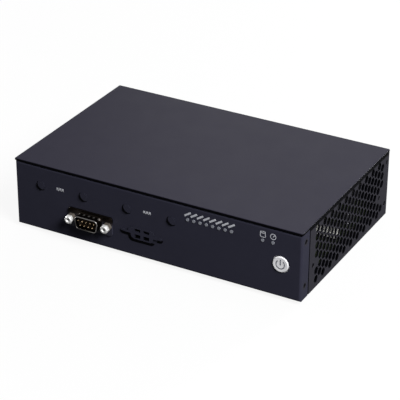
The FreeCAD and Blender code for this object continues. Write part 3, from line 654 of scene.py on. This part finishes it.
black_plastic = moulded("black_moulding", (0.022, 0.022, 0.022), 0.5)
brown_plastic = moulded("brown_moulding", (0.050, 0.029, 0.014), 0.5)
white_plastic = moulded("white_moulding", (0.82, 0.82, 0.78), 0.42)
cap_white = moulded("button_cap", (0.93, 0.93, 0.96), 0.38, 0.3, 0.004)
symbol_grey = moulded("printed_grey", (0.16, 0.17, 0.20), 0.55, 0.2, 0.004)
print_grey = moulded("printed_light_grey", (0.56, 0.57, 0.62), 0.55, 0.2, 0.004)
clear_grey = moulded("light_pipe", (0.26, 0.27, 0.31), 0.22, 0.3, 0.002, Coat_Weight=0.3)
rubber = moulded("rubber", (0.025, 0.025, 0.025), 0.8, 0.7, 0.03)
pad_grey = moulded("thermal_pad", (0.40, 0.42, 0.46), 0.8, 0.6, 0.03)
epoxy = moulded("chip_epoxy", (0.028, 0.028, 0.03), 0.55, 0.15, 0.006)

HEADER_BAND = (3.3, 7.6)
HEADER_WHITE, HEADER_DARK = (0.60, 0.60, 0.57), (0.010, 0.010, 0.009)
CORE_PITCH = 1.27
# The pale cores of the flat cable, and the painted shade in the grooves between them.
CORE_PALE, CORE_SHADE = (0.46, 0.46, 0.48), (0.25, 0.25, 0.27)


def header_finish():
    """The power header is white round its pins, and dark above and below."""
    header = Finish("header_moulding", HEADER_WHITE, 0.45)
    z = header.axes()[2]
    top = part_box("power_header")[1].z
    upper = z.above(top - HEADER_BAND[0] * MM, 0.1 * MM)
    lower = z.above(top - HEADER_BAND[1] * MM, 0.1 * MM)
    header.set("Base Color", header.blend(lower & (1.0 - upper), HEADER_DARK, HEADER_WHITE))
    header.bump(header.noise(0.5), 0.008, 0.5)
    return header.material


def ribbon_finish():
    """A flat cable: rounded cores side by side, read across the cable, with painted shade in the grooves
    between cores.
    """
    cable = Finish("flat_cable", (0.42, 0.42, 0.44), 0.5)
    x = cable.axes()[0]
    core = (x / (CORE_PITCH * MM)).fraction() - 0.5
    crown = 1.0 - core * core * 4.0
    cable.set("Base Color", cable.blend(crown.above(0.25, 0.4), CORE_SHADE, CORE_PALE))
    cable.bump(crown, 0.25, 0.8)
    return cable.material


header_white = header_finish()
flat_cable = ribbon_finish()
print("plastic finishes ready")

# %% [markdown]
# A circuit board is green solder mask over copper, with slightly lighter tracks in two directions. They are
# only glimpsed, so a repeating stripe draws them instead of geometry, a coarse noise says where each
# direction shows, and tinned pads glint between them.

# %% Circuit board
TRACK_PITCH = (1.3, 1.6)
TINNED = (0.30, 0.30, 0.28)
OLIVE, OLIVE_TRACK = (0.011, 0.015, 0.006), (0.020, 0.028, 0.011)
DARK_GREEN, DARK_TRACK = (0.008, 0.012, 0.008), (0.016, 0.022, 0.014)


def stripes(axis, pitch):
    """Thin lines side by side, at a pitch in millimetres."""
    edge = ((axis / (pitch * MM)).fraction() - 0.5).distance()
    return 1.0 - edge.above(0.14, 0.06)


def solder_mask(name, across, along, green, track):
    """Tracks lie on a grid of the two axes named, such as 0 and 1 for x and y."""
    board = Finish(name, green, 0.4)
    axes = board.axes()
    zone = board.noise(7.0, 1.0)
    columns = stripes(axes[across], TRACK_PITCH[0]) * zone.above(0.52, 0.02)
    rows = stripes(axes[along], TRACK_PITCH[1]) * (1.0 - zone.above(0.48, 0.02))
    tracks = columns | rows
    pads = board.noise(1.6, 0.0).above(0.72, 0.02)
    board.set("Base Color", board.blend(pads, board.blend(tracks, green, track), TINNED))
    board.set("Metallic", pads)
    board.bump(tracks | pads, 0.03, 0.6)
    return board.material


board_flat = solder_mask("solder_mask", 0, 1, OLIVE, OLIVE_TRACK)
board_upright = solder_mask("solder_mask_upright", 0, 2, OLIVE, OLIVE_TRACK)
board_black = solder_mask("solder_mask_black", 0, 1, DARK_GREEN, DARK_TRACK)
print("board finishes ready")

# %% [markdown]
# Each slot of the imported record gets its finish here, and a few nodes get one of their own. A CAD node keeps
# its mesh, and takes the new material in place of its plain one.

# %% Dress the CAD nodes
SLOT_FINISH = {
    "case_paint": case_paint,
    "black_screw": screw_black,
    "zinc_steel": zinc,
    "steel": satin_steel,
    "rubber": rubber,
    "circuit_board": board_flat,
    "brass": brass,
    "chip_black": epoxy,
    "pad_grey": pad_grey,
    "black_anodised": anodised,
    "black_plastic": black_plastic,
    "white_plastic": white_plastic,
    "gold_pin": gold,
    "can_aluminium": can_metal,
    "light_pipe": clear_grey,
    "button_white": cap_white,
    "cable_grey": flat_cable,
    "nickel": nickel,
}
NODE_FINISH = {
    "front_panel": front_paint,
    "rear_panel": rear_paint,
    "base_tray": floor_paint,
    "top_cover": lid_paint,
    "side_panel_left": side_paint,
    "side_panel_right": side_paint,
    "front_board": board_upright,
    "memory_module": board_black,
    "storage_card": board_black,
    "serial_insulator": brown_plastic,
    "power_header": header_white,
    "power_header_pins": satin_steel,
}
slot_of = {row["node"]: row["material_slot"] for row in frame["record"]["subparts"]}
for node_name, node in frame["nodes"].items():
    finish = NODE_FINISH.get(node_name, SLOT_FINISH[slot_of[node_name]])
    node.data.materials.clear()
    node.data.materials.append(finish)
print("dressed", len(frame["nodes"]), "nodes")

# %% [markdown]
# The finer copies are grids: rows and columns of points, worked out as whole arrays. This helper joins
# neighbours into four-sided faces. Once points that meet have been welded, a grid is one closed skin.

# %% Surface helper
WELD = 1e-7


def grid_faces(rows, columns):
    """The four corners of every cell of a grid whose rows are closed rings, as an array of indices."""
    r, c = np.arange(rows - 1)[:, None] * columns, np.arange(columns)
    following = (c + 1) % columns
    corners = [r + c, r + following, r + columns + following, r + columns + c]
    return np.stack(corners, axis=-1).reshape(-1, 4)


def piece(name, grids, finish, body, smooth=35.0):
    """One object from several grids of points. An edge is sharp where its faces meet at more than the
    angle smooth, in degrees."""
    points, faces, start = [], [], 0
    for grid in grids:
        rows, columns = grid.shape[:2]
        points.append(grid.reshape(-1, 3))
        faces.append(grid_faces(rows, columns) + start)
        start += rows * columns
    points, faces = np.concatenate(points), np.concatenate(faces)
    mesh = bpy.data.meshes.new(name)
    mesh.from_pydata(points, [], faces.tolist())
    made = bmesh.new()
    made.from_mesh(mesh)
    bmesh.ops.remove_doubles(made, verts=made.verts, dist=WELD)
    bmesh.ops.dissolve_degenerate(made, edges=made.edges, dist=WELD)
    bmesh.ops.recalc_face_normals(made, faces=made.faces)
    made.to_mesh(mesh)
    made.free()
    mesh.shade_smooth()
    mesh.set_sharp_from_angle(angle=math.radians(smooth))
    mesh.materials.append(finish)
    thing = bpy.data.objects.new(name, mesh)
    bpy.context.scene.collection.objects.link(thing)
    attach(thing, body)
    print(name, "faces:", len(mesh.polygons))
    return thing


def axis_frame(axis):
    """Two directions to turn a profile in, square to an axis that lies along x, y or z."""
    first = np.array([0.0, 0.0, 1.0]) if abs(axis[2]) < 0.9 else np.array([1.0, 0.0, 0.0])
    return first, np.cross(axis, first)


def turned(profile, centre, axis, segments=48):
    """A profile of (distance along the axis, radius) turned round the axis: row i, column j is the centre,
    plus the axis times the distance, plus the radius in the direction of angle j."""
    profile = np.asarray(profile, float) * MM
    axis = np.asarray(axis, float)
    first, second = axis_frame(axis)
    angle = np.linspace(0, 2 * np.pi, segments, endpoint=False)
    spoke = np.cos(angle)[:, None] * first + np.sin(angle)[:, None] * second
    along = profile[:, 0, None, None] * axis
    return centre + along + profile[:, 1, None, None] * spoke


def soft_edge(end, rim, size, steps=6):
    """The quarter round of a profile between its side, at the radius rim, and its end face."""
    turns = np.linspace(0, np.pi / 2, steps)
    return [(end - size * (1 - math.sin(a)), rim - size * (1 - math.cos(a))) for a in turns]


print("surface helper ready")

# %% [markdown]
# Screws are turned, with a cross recess. A head is a polar grid: its height at radius r and angle a is the
# dome, less the recess where the point lies within either arm of the cross.

# %% Screw shapes
ARM = 0.6
RINGS, SEGMENTS = 22, 64


def smooth_step(value):
    """0 up to 0, 1 from 1 on, and a smooth rise between."""
    value = np.clip(value, 0.0, 1.0)
    return value * value * (3 - 2 * value)


def screw_head(centre, axis, radius, dome, recess, depth, twist):
    """Row i, column j: the point at radius r and angle a, raised along the axis by
    dome * (1 - r^2 / radius^2) - depth * (1 - r / recess / 2) * cross, which is 1 inside the recess."""
    inner, outer = np.linspace(0, recess * 1.15, RINGS), np.linspace(recess * 1.3, radius, 4)
    r = np.concatenate([inner, outer])[:, None]
    a = np.linspace(0, 2 * np.pi, SEGMENTS, endpoint=False)[None, :]
    u, v = r * np.cos(a), r * np.sin(a)
    arm = np.minimum(np.abs(u), np.abs(v))
    cross = smooth_step((ARM * recess - arm) / (0.12 * recess)) * smooth_step((recess - r) / (0.15 * recess))
    height = dome * (1 - (r / radius) ** 2) - depth * (1 - 0.5 * r / recess) * cross
    first, second = axis_frame(axis)
    cos, sin = math.cos(twist), math.sin(twist)
    across = (u * cos - v * sin)[..., None] * first + (u * sin + v * cos)[..., None] * second
    return centre + (across + height[..., None] * axis) * MM


def screws(places, finish, slot, node, skirt, *head):
    """All the screws of one CAD node, each turned to its own angle. The skirt is the profile (distance along
    the axis, radius) from the head's rim back to the point."""
    parts = []
    for index, (centre, axis) in enumerate(places):
        parts.append(screw_head(centre, axis, *head, 0.3 + 0.9 * index))
        parts.append(turned(skirt, centre, axis, SEGMENTS))
    made = piece(node + "_fine", parts, finish, CASE)
    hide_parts(node)


print("screw shapes ready")

# %% [markdown]
# One CAD node often holds several solids, such as all the screws of a kind, and a fine copy has to stand
# where each of them stands. Points that share edges belong to one solid. The solids are sorted, so that each
# run gives the same screw the same turn.

# %% Places of the solids
def solid_boxes(node):
    """Lowest and highest corners of each separate solid of a CAD node, one row for each."""
    mesh = bmesh.new()
    mesh.from_mesh(frame["nodes"][node].data)
    bmesh.ops.remove_doubles(mesh, verts=mesh.verts, dist=1e-6)
    left, boxes = set(mesh.verts), []
    while left:
        found, waiting = set(), [left.pop()]
        while waiting:
            vert = waiting.pop()
            found.add(vert)
            near = {edge.other_vert(vert) for edge in vert.link_edges} & left
            left -= near
            waiting += near
        points = np.array([vert.co for vert in found])
        boxes.append((points.min(axis=0), points.max(axis=0)))
    mesh.free()
    return sorted(boxes, key=lambda box: tuple(np.round(box[0], 5)))


def ends(node, axis):
    """The middle of the end face of each solid of a node, on the side that the axis points to. An axis of
    None takes the side away from the middle of the case."""
    places = []
    for low, high in solid_boxes(node):
        middle = (low + high) / 2
        outward = np.array([np.sign(middle[0]), 0.0, 0.0]) if axis is None else np.array(axis, float)
        places.append((middle + outward * (high - low) / 2, outward))
    return places


def fine_copies(name, node, shape, finish, smooth=35.0):
    """One piece that stands for a CAD node, with a shape made from the corners of each of its solids."""
    made = piece(name, [shape(*corners) for corners in solid_boxes(node)], finish, CASE, smooth)
    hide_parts(node)


print("case screws:", len(solid_boxes("case_screws")))

# %% [markdown]
# The case screws are sunk flush with the side, and those inside have a low dome. Each has a skirt, which is
# as long as the solid that the screw stands for.

# %% Screws
SUNK, PAN, SHANK, TIP = 2.3, 2.5, 1.45, 0.9
SUNK_RECESS, PAN_RECESS = (1.5, 1.1), (1.3, 1.0)
sunk_skirt = [(0, SUNK), (-0.05, SUNK), (SHANK - SUNK, SHANK), (-4.9, SHANK), (-5.4, TIP), (-5.4, 0)]
side_places = ends("case_screws", None)
screws(side_places, screw_black, "black_screw", "case_screws", sunk_skirt, SUNK, 0.0, *SUNK_RECESS)
for node, axis, dome, rim in (
    ("board_screws", (0, 0, 1), 0.6, 1.0),
    ("heatsink_screws", (0, 0, 1), 0.6, 1.2),
    ("front_board_screws", (0, 1, 0), 0.5, 1.0),
):
    low, high = solid_boxes(node)[0]
    point = dome - (high - low)[axis.index(1)] / MM
    places = [(end - np.array(axis) * dome * MM, direction) for end, direction in ends(node, axis)]
    skirt = [(0, PAN), (-rim, PAN), (-rim, SHANK), (point + 0.5, SHANK), (point, TIP), (point, 0)]
    screws(places, zinc, "zinc_steel", node, skirt, PAN, dome, *PAN_RECESS)

# %% [markdown]
# The serial port is the eye-catcher. Its metal front is one sheet: a flat flange, a root radius, a D-shaped
# skirt with three pressed dimples, and a rolled rim. Every ring of the grid has four arcs and four straight
# runs, so a ring of the rectangle joins up with a ring of the D.

# %% Serial port front
SKIRT_WIDTH, SKIRT_HEIGHT, SKIRT_SLOPE, SKIRT_CORNER = 16.9, 8.4, 10.0, 2.4
FLANGE_CORNER = 1.8
SHEET = 0.5
ARC_POINTS, RUN_POINTS = 9, 24
port_x = (port_middle_x - case_left) / MM
port_z = (port_middle_z - case_floor) / MM
flange_width = (port_high.x - port_low.x) / MM
flange_height = (port_high.z - port_low.z) / MM
skirt_reach = (front_y - port_low.y) / MM


def ring(width, height, slope, corner, grow):
    """A ring of points (x, z), clockwise from the top left: a trapezium with its long side up, sides that
    slope in by the angle, corners of the given radius, all moved outwards by grow."""
    lean = math.radians(slope)
    half, top = width / 2, height / 2
    lower = half - height * math.tan(lean)
    wide = corner * math.tan(math.pi / 4 + lean / 2)
    narrow = corner * math.tan(math.pi / 4 - lean / 2)
    centres = [(wide - half, top - corner), (half - wide, top - corner)]
    centres += [(lower - narrow, corner - top), (narrow - lower, corner - top)]
    starts = [180 + slope, 90, -slope, -90]
    stops = [90, -slope, -90, -180 + slope]
    points = []
    for (x, z), start, stop in zip(centres, starts, stops):
        angle, radius = np.radians(np.linspace(start, stop, ARC_POINTS)), corner + grow
        points.append(np.column_stack([x + radius * np.cos(angle), z + radius * np.sin(angle)]))
    whole = []
    for index, bend in enumerate(points):
        following = points[(index + 1) % 4]
        share = np.linspace(0, 1, RUN_POINTS)[1:-1, None]
        whole += [bend, bend[-1] * (1 - share) + following[0] * share]
    return np.concatenate(whole)


def stack(rings, centre_x, centre_z):
    """Rings of (x, z) points, each with how far out it lies, as a grid on the front of the case."""
    rows = [on_front(centre_x + points[:, 0], centre_z + points[:, 1], out) for points, out in rings]
    return np.stack(rows)


def shell_rings():
    """The sheet's rings from the flange's back edge, over its front, out along the skirt, round the rim and
    back down the inside."""
    plate = [(0.0, 0.0), (0.0, 0.75), (-0.15, 0.9)]
    rings = [(ring(flange_width, flange_height, 0.0, FLANGE_CORNER, grow), out) for grow, out in plate]
    skirt = [(0.9, 0.9), (0.5, 0.98), (0.2, 1.2), (0.05, 1.5), (0.0, 1.9)]
    skirt += [(0.0, out) for out in np.linspace(2.1, skirt_reach - 0.5, 14)]
    for a in np.linspace(0, np.pi, 7):
        skirt.append((-SHEET / 2 * (1 - math.cos(a)), skirt_reach - SHEET / 2 * (1 - math.sin(a))))
    skirt += [(-SHEET, out) for out in (skirt_reach - 1.0, 3.0, 1.0, 0.0)]
    for grow, out in skirt:
        rings.append((ring(SKIRT_WIDTH, SKIRT_HEIGHT, SKIRT_SLOPE, SKIRT_CORNER, grow), out))
    return rings


def press_dimples(grid, centres, radius, depth):
    """Pushes the sheet down by depth * exp(-d^2 / radius^2) near the middle of each dimple."""
    for centre in centres:
        distance = np.linalg.norm(grid - centre, axis=-1) / (radius * MM)
        grid[..., 2] -= depth * MM * np.exp(-distance ** 2)
    return grid


shell = stack(shell_rings(), port_x, port_z)
skirt_top = port_z + SKIRT_HEIGHT / 2
dimples = [on_front(port_x + step * DIMPLE_PITCH, skirt_top, DIMPLE_OUT) for step in (-1, 0, 1)]
shell = press_dimples(shell, dimples, 0.9, 0.35)
shell = np.concatenate([shell, shell[:1]])
shell_piece = piece("serial_shell_fine", [shell], port_sheet, CASE, 40)
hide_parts("serial_shell")

# %% [markdown]
# Inside the skirt stand nine pins with rounded noses, and beside it two hexagonal posts. A lathe has cut
# their front corners, so each ring of a post is the smaller of the hexagon and a shrinking circle.

# %% Serial pins and posts
PIN = 0.5
STUD, POST_FOOT = 1.4, 0.9
MOUTH, THREAD, THREAD_DEPTH, THREAD_PITCH = 1.3, 1.05, 0.09, 0.64


def pin(low, high):
    """A turned pin with a bullet nose, along -Y."""
    length = (high[1] - low[1]) / MM
    nose = [(length - PIN * 1.6 * (1 - math.sin(a)), PIN * math.cos(a)) for a in np.linspace(0, np.pi / 2, 8)]
    centre = np.array([(low[0] + high[0]) / 2, high[1], (low[2] + high[2]) / 2])
    return turned([(0, 0), (0, PIN)] + nose, centre, (0, -1, 0), 20)


def hexagon_radius(angle, across):
    """Distance from the middle to the side of a hexagon with two level flats, at each angle."""
    sector = np.mod(angle, np.pi / 3) - np.pi / 6
    return across / 2 / np.cos(sector)


def post(low, high):
    """A hexagonal post: a stud, a hexagon with its front corners turned away, and a threaded mouth."""
    across, reach = (high[2] - low[2]) / MM, (front_y - low[1]) / MM
    angle = np.linspace(0, 2 * np.pi, 72, endpoint=False)
    circle = np.ones(angle.size)
    hexagon = hexagon_radius(angle, across)
    corner = across / math.sqrt(3)
    rows = [(-4.2, 0.0 * circle), (-4.2, 1.2 * circle), (-4.0, STUD * circle), (POST_FOOT, STUD * circle)]
    rows.append((POST_FOOT, hexagon))
    for share in np.linspace(0, 1, 7):
        limit = corner - (corner - across / 2 * 0.84) * share
        rows.append((reach - 0.9 * (1 - share) ** 1.3, np.minimum(hexagon, limit)))
    rows.append((reach, MOUTH * circle))
    for down in np.linspace(0, 3.2, 60):
        ripple = THREAD + THREAD_DEPTH * math.cos(2 * math.pi * down / THREAD_PITCH)
        rows.append((reach - 0.3 - down, ripple * circle))
    rows.append((reach - 3.6, 0.0 * circle))
    x = ((low[0] + high[0]) / 2 - case_left) / MM
    z = ((low[2] + high[2]) / 2 - case_floor) / MM
    grid = [on_front(x + radius * np.cos(angle), z + radius * np.sin(angle), out) for out, radius in rows]
    return np.stack(grid)


fine_copies("serial_pins_fine", "serial_pins", pin, pin_metal, 50)
fine_copies("serial_posts_fine", "serial_jack_screws", post, post_metal, 25)

# %% [markdown]
# The push button is one turned cap with a soft edge and a slightly dished face. Its symbol is an open ring
# with a bar, printed a hair above the face. Both ride on the moving body.

# %% Push button
button_low, button_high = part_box("power_button")
button_x = ((button_low.x + button_high.x) / 2 - case_left) / MM
button_z = ((button_low.z + button_high.z) / 2 - case_floor) / MM
button_out = (front_y - button_low.y) / MM
button_back = (front_y - button_high.y) / MM
flange_radius = (button_high.x - button_low.x) / 2 / MM
CAP, EDGE, DISH = 4.9, 0.4, 0.12
FACE = CAP - EDGE
FLANGE_FRONT = -1.2

profile = [(button_back, 0), (button_back, flange_radius), (FLANGE_FRONT, flange_radius), (FLANGE_FRONT, CAP)]
profile += soft_edge(button_out, CAP, EDGE, 8)
profile += [(button_out - DISH * (1 - (r / FACE) ** 2), r) for r in np.linspace(FACE, 0, 12)[1:]]
cap_grid = turned(profile, on_front(button_x, button_z), (0, -1, 0), 96)
cap = piece("power_button_fine", [cap_grid], cap_white, BUTTON, 40)
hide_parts("power_button")

# %% [markdown]
# Prints are strokes: a line of points is given a width and a thin height, so ink is geometry, and sharp.

# %% Power symbol
INK, CAP_INK = 0.03, 0.09
SYMBOL_RADIUS, SYMBOL_GAP, SYMBOL_WIDTH = 2.7, 38, 0.75


def stroke(x, z, width, out, height):
    """A raised stroke along a line of points (x, z): its section is a low box with a bevelled top."""
    line = np.column_stack([x, z])
    along = np.gradient(line, axis=0)
    along /= np.linalg.norm(along, axis=1)[:, None]
    side = np.column_stack([-along[:, 1], along[:, 0]])
    section = np.array([(-0.5, 0.0), (-0.5, 0.6), (-0.42, 1.0), (0.42, 1.0), (0.5, 0.6), (0.5, 0.0)])
    points = line[:, None] + side[:, None] * width * section[:, :1]
    rows = on_front(points[..., 0], points[..., 1], out + height * section[:, 1])
    first, last = [np.tile(row.mean(axis=0), (1, len(section), 1)) for row in (rows[0], rows[-1])]
    return np.concatenate([first, rows, last])


def cap_stroke(x, z):
    """A stroke on the face of the button, with x and z from its middle."""
    return stroke(button_x + x, button_z + z, SYMBOL_WIDTH, button_out - DISH - 0.02, CAP_INK)


gap = math.radians(SYMBOL_GAP)
turn = np.linspace(gap, 2 * np.pi - gap, 48)
symbol = [cap_stroke(SYMBOL_RADIUS * np.sin(turn), SYMBOL_RADIUS * np.cos(turn))]
symbol.append(cap_stroke(np.zeros(6), np.linspace(-0.3, 3.3, 6)))
piece("power_symbol", symbol, symbol_grey, BUTTON)

# %% [markdown]
# The marks on the front are generic shapes: a slanted dash above each network lamp, a drum and a dial above
# the two status lamps, and two short three-bar marks.

# %% Printed marks
LAMP_COUNT = 8
CARRIER_MARGIN = 2.2
DASH_RISE, ICON_RISE = 3.6, 3.8
LINE = 0.45
BAR_MARKS = ((31.8, 31.1), (92.2, 31.4))


def lamp_ends(node):
    """The x of the first and last lamp of a row, in millimetres from the left of the case."""
    low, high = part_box(node)
    return (low.x - case_left) / MM + CARRIER_MARGIN, (high.x - case_left) / MM - CARRIER_MARGIN


def dash(x, z, length, width, tilt):
    """A straight stroke with its middle at x, z, tilted up to the right by an angle in degrees."""
    reach = np.linspace(-0.5, 0.5, 6) * length
    a = math.radians(tilt)
    return stroke(x + reach * math.cos(a), z + reach * math.sin(a), width, 0.0, INK)


def oval(x, z, wide, tall, start=0.0, stop=360.0):
    """Part of an ellipse, drawn as a thin stroke."""
    a = np.radians(np.linspace(start, stop, 40))
    return stroke(x + wide / 2 * np.cos(a), z + tall / 2 * np.sin(a), LINE, 0.0, INK)


def drum(x, z, wide=3.2, tall=2.6):
    """A drum: a whole oval, half an oval below it, and two sides."""
    ovals = [oval(x, z + tall / 2, wide, 1.1), oval(x, z - tall / 2, wide, 1.1, 180, 360)]
    return ovals + [dash(x + side * wide / 2, z, tall, LINE, 90) for side in (-1, 1)]


def dial(x, z):
    """A dial with its hand up to the right."""
    return [oval(x, z, 3.4, 3.4), dash(x + 0.4, z + 0.4, 1.5, 0.5, 50)]


def three_bars(x, z):
    """Three short bars on a line."""
    return [dash(x + step * 1.85, z, 1.7, 1.3, 90) for step in (-1, 0, 1)] + [dash(x, z - 0.7, 5.2, 0.5, 0)]


low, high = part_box("network_light_pipes")
lamp_z = ((low.z + high.z) / 2 - case_floor) / MM
lamp_row = np.linspace(*lamp_ends("network_light_pipes"), LAMP_COUNT)
marks = [dash(x, lamp_z + DASH_RISE, 4.9, 1.15, 33) for x in lamp_row]
drum_x, dial_x = lamp_ends("status_light_pipes")
marks += drum(drum_x, lamp_z + ICON_RISE) + dial(dial_x, lamp_z + ICON_RISE)
for x, z in BAR_MARKS:
    marks += three_bars(x, z)
piece("printed_marks", marks, print_grey, CASE)

# %% [markdown]
# Feet, cans and socket contacts are small, and each is a turned or drawn shape. The contacts lie in the
# mouths of the network sockets, which the CAD model leaves empty.

# %% Feet, cans and contacts
CONTACTS, CONTACT_PITCH = 8, 1.02
MOUTH_TOP = 11.6
CONTACT_ENDS = ((3.0, 0.3), (10.0, 3.2))


def base(low, high):
    """The middle of the underside of a box."""
    return np.array([(low[0] + high[0]) / 2, (low[1] + high[1]) / 2, low[2]])


def foot(low, high):
    """A tapered foot with a soft lower edge and a shallow hollow in its underside."""
    wide, tall = (high[0] - low[0]) / 2 / MM, (high[2] - low[2]) / MM
    profile = [(-tall, 0), (-tall, wide)] + soft_edge(0, wide - 0.8, 0.5) + [(0, 2.0), (-0.4, 1.6), (-0.4, 0)]
    return turned(profile, base(low, high), (0, 0, -1))


def can(low, high):
    """A drawn can with a crimped groove near its foot and a top that is sunk a little."""
    radius, tall = (high[0] - low[0]) / 2 / MM, (high[2] - low[2]) / MM
    groove = [(1.6 + 0.5 * s, radius - 0.35 * math.sin(math.pi * (s + 1) / 2)) for s in np.linspace(-1, 1, 9)]
    top = [(tall - 0.08, radius - 0.9), (tall - 0.08, 0)]
    profile = [(0, 0), (0, radius)] + groove + soft_edge(tall, radius, 0.5) + top
    return turned(profile, base(low, high), (0, 0, 1))


def wire(start, stop, radius=0.2):
    """A straight thin wire between two points in metres, slightly oval where it is slanted."""
    start, stop = np.array(start), np.array(stop)
    length = np.linalg.norm(stop - start)
    profile = [(0, 0), (0, radius), (length / MM, radius), (length / MM, 0)]
    return turned(profile, start, (stop - start) / length, 10)


fine_copies("rubber_feet_fine", "rubber_feet", foot, rubber)
fine_copies("capacitors_fine", "capacitors", can, can_metal)
wires = []
for number in range(1, 5):
    low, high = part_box("network_jack_%d" % number)
    middle, mouth_top = (low.x + high.x) / 2, low.z + MOUTH_TOP * MM
    for step in np.arange(CONTACTS) - (CONTACTS - 1) / 2:
        x = middle + step * CONTACT_PITCH * MM
        places = [(x, high.y - deep * MM, mouth_top - down * MM) for deep, down in CONTACT_ENDS]
        wires.append(wire(*places))
piece("jack_contacts", wires, gold, CASE)
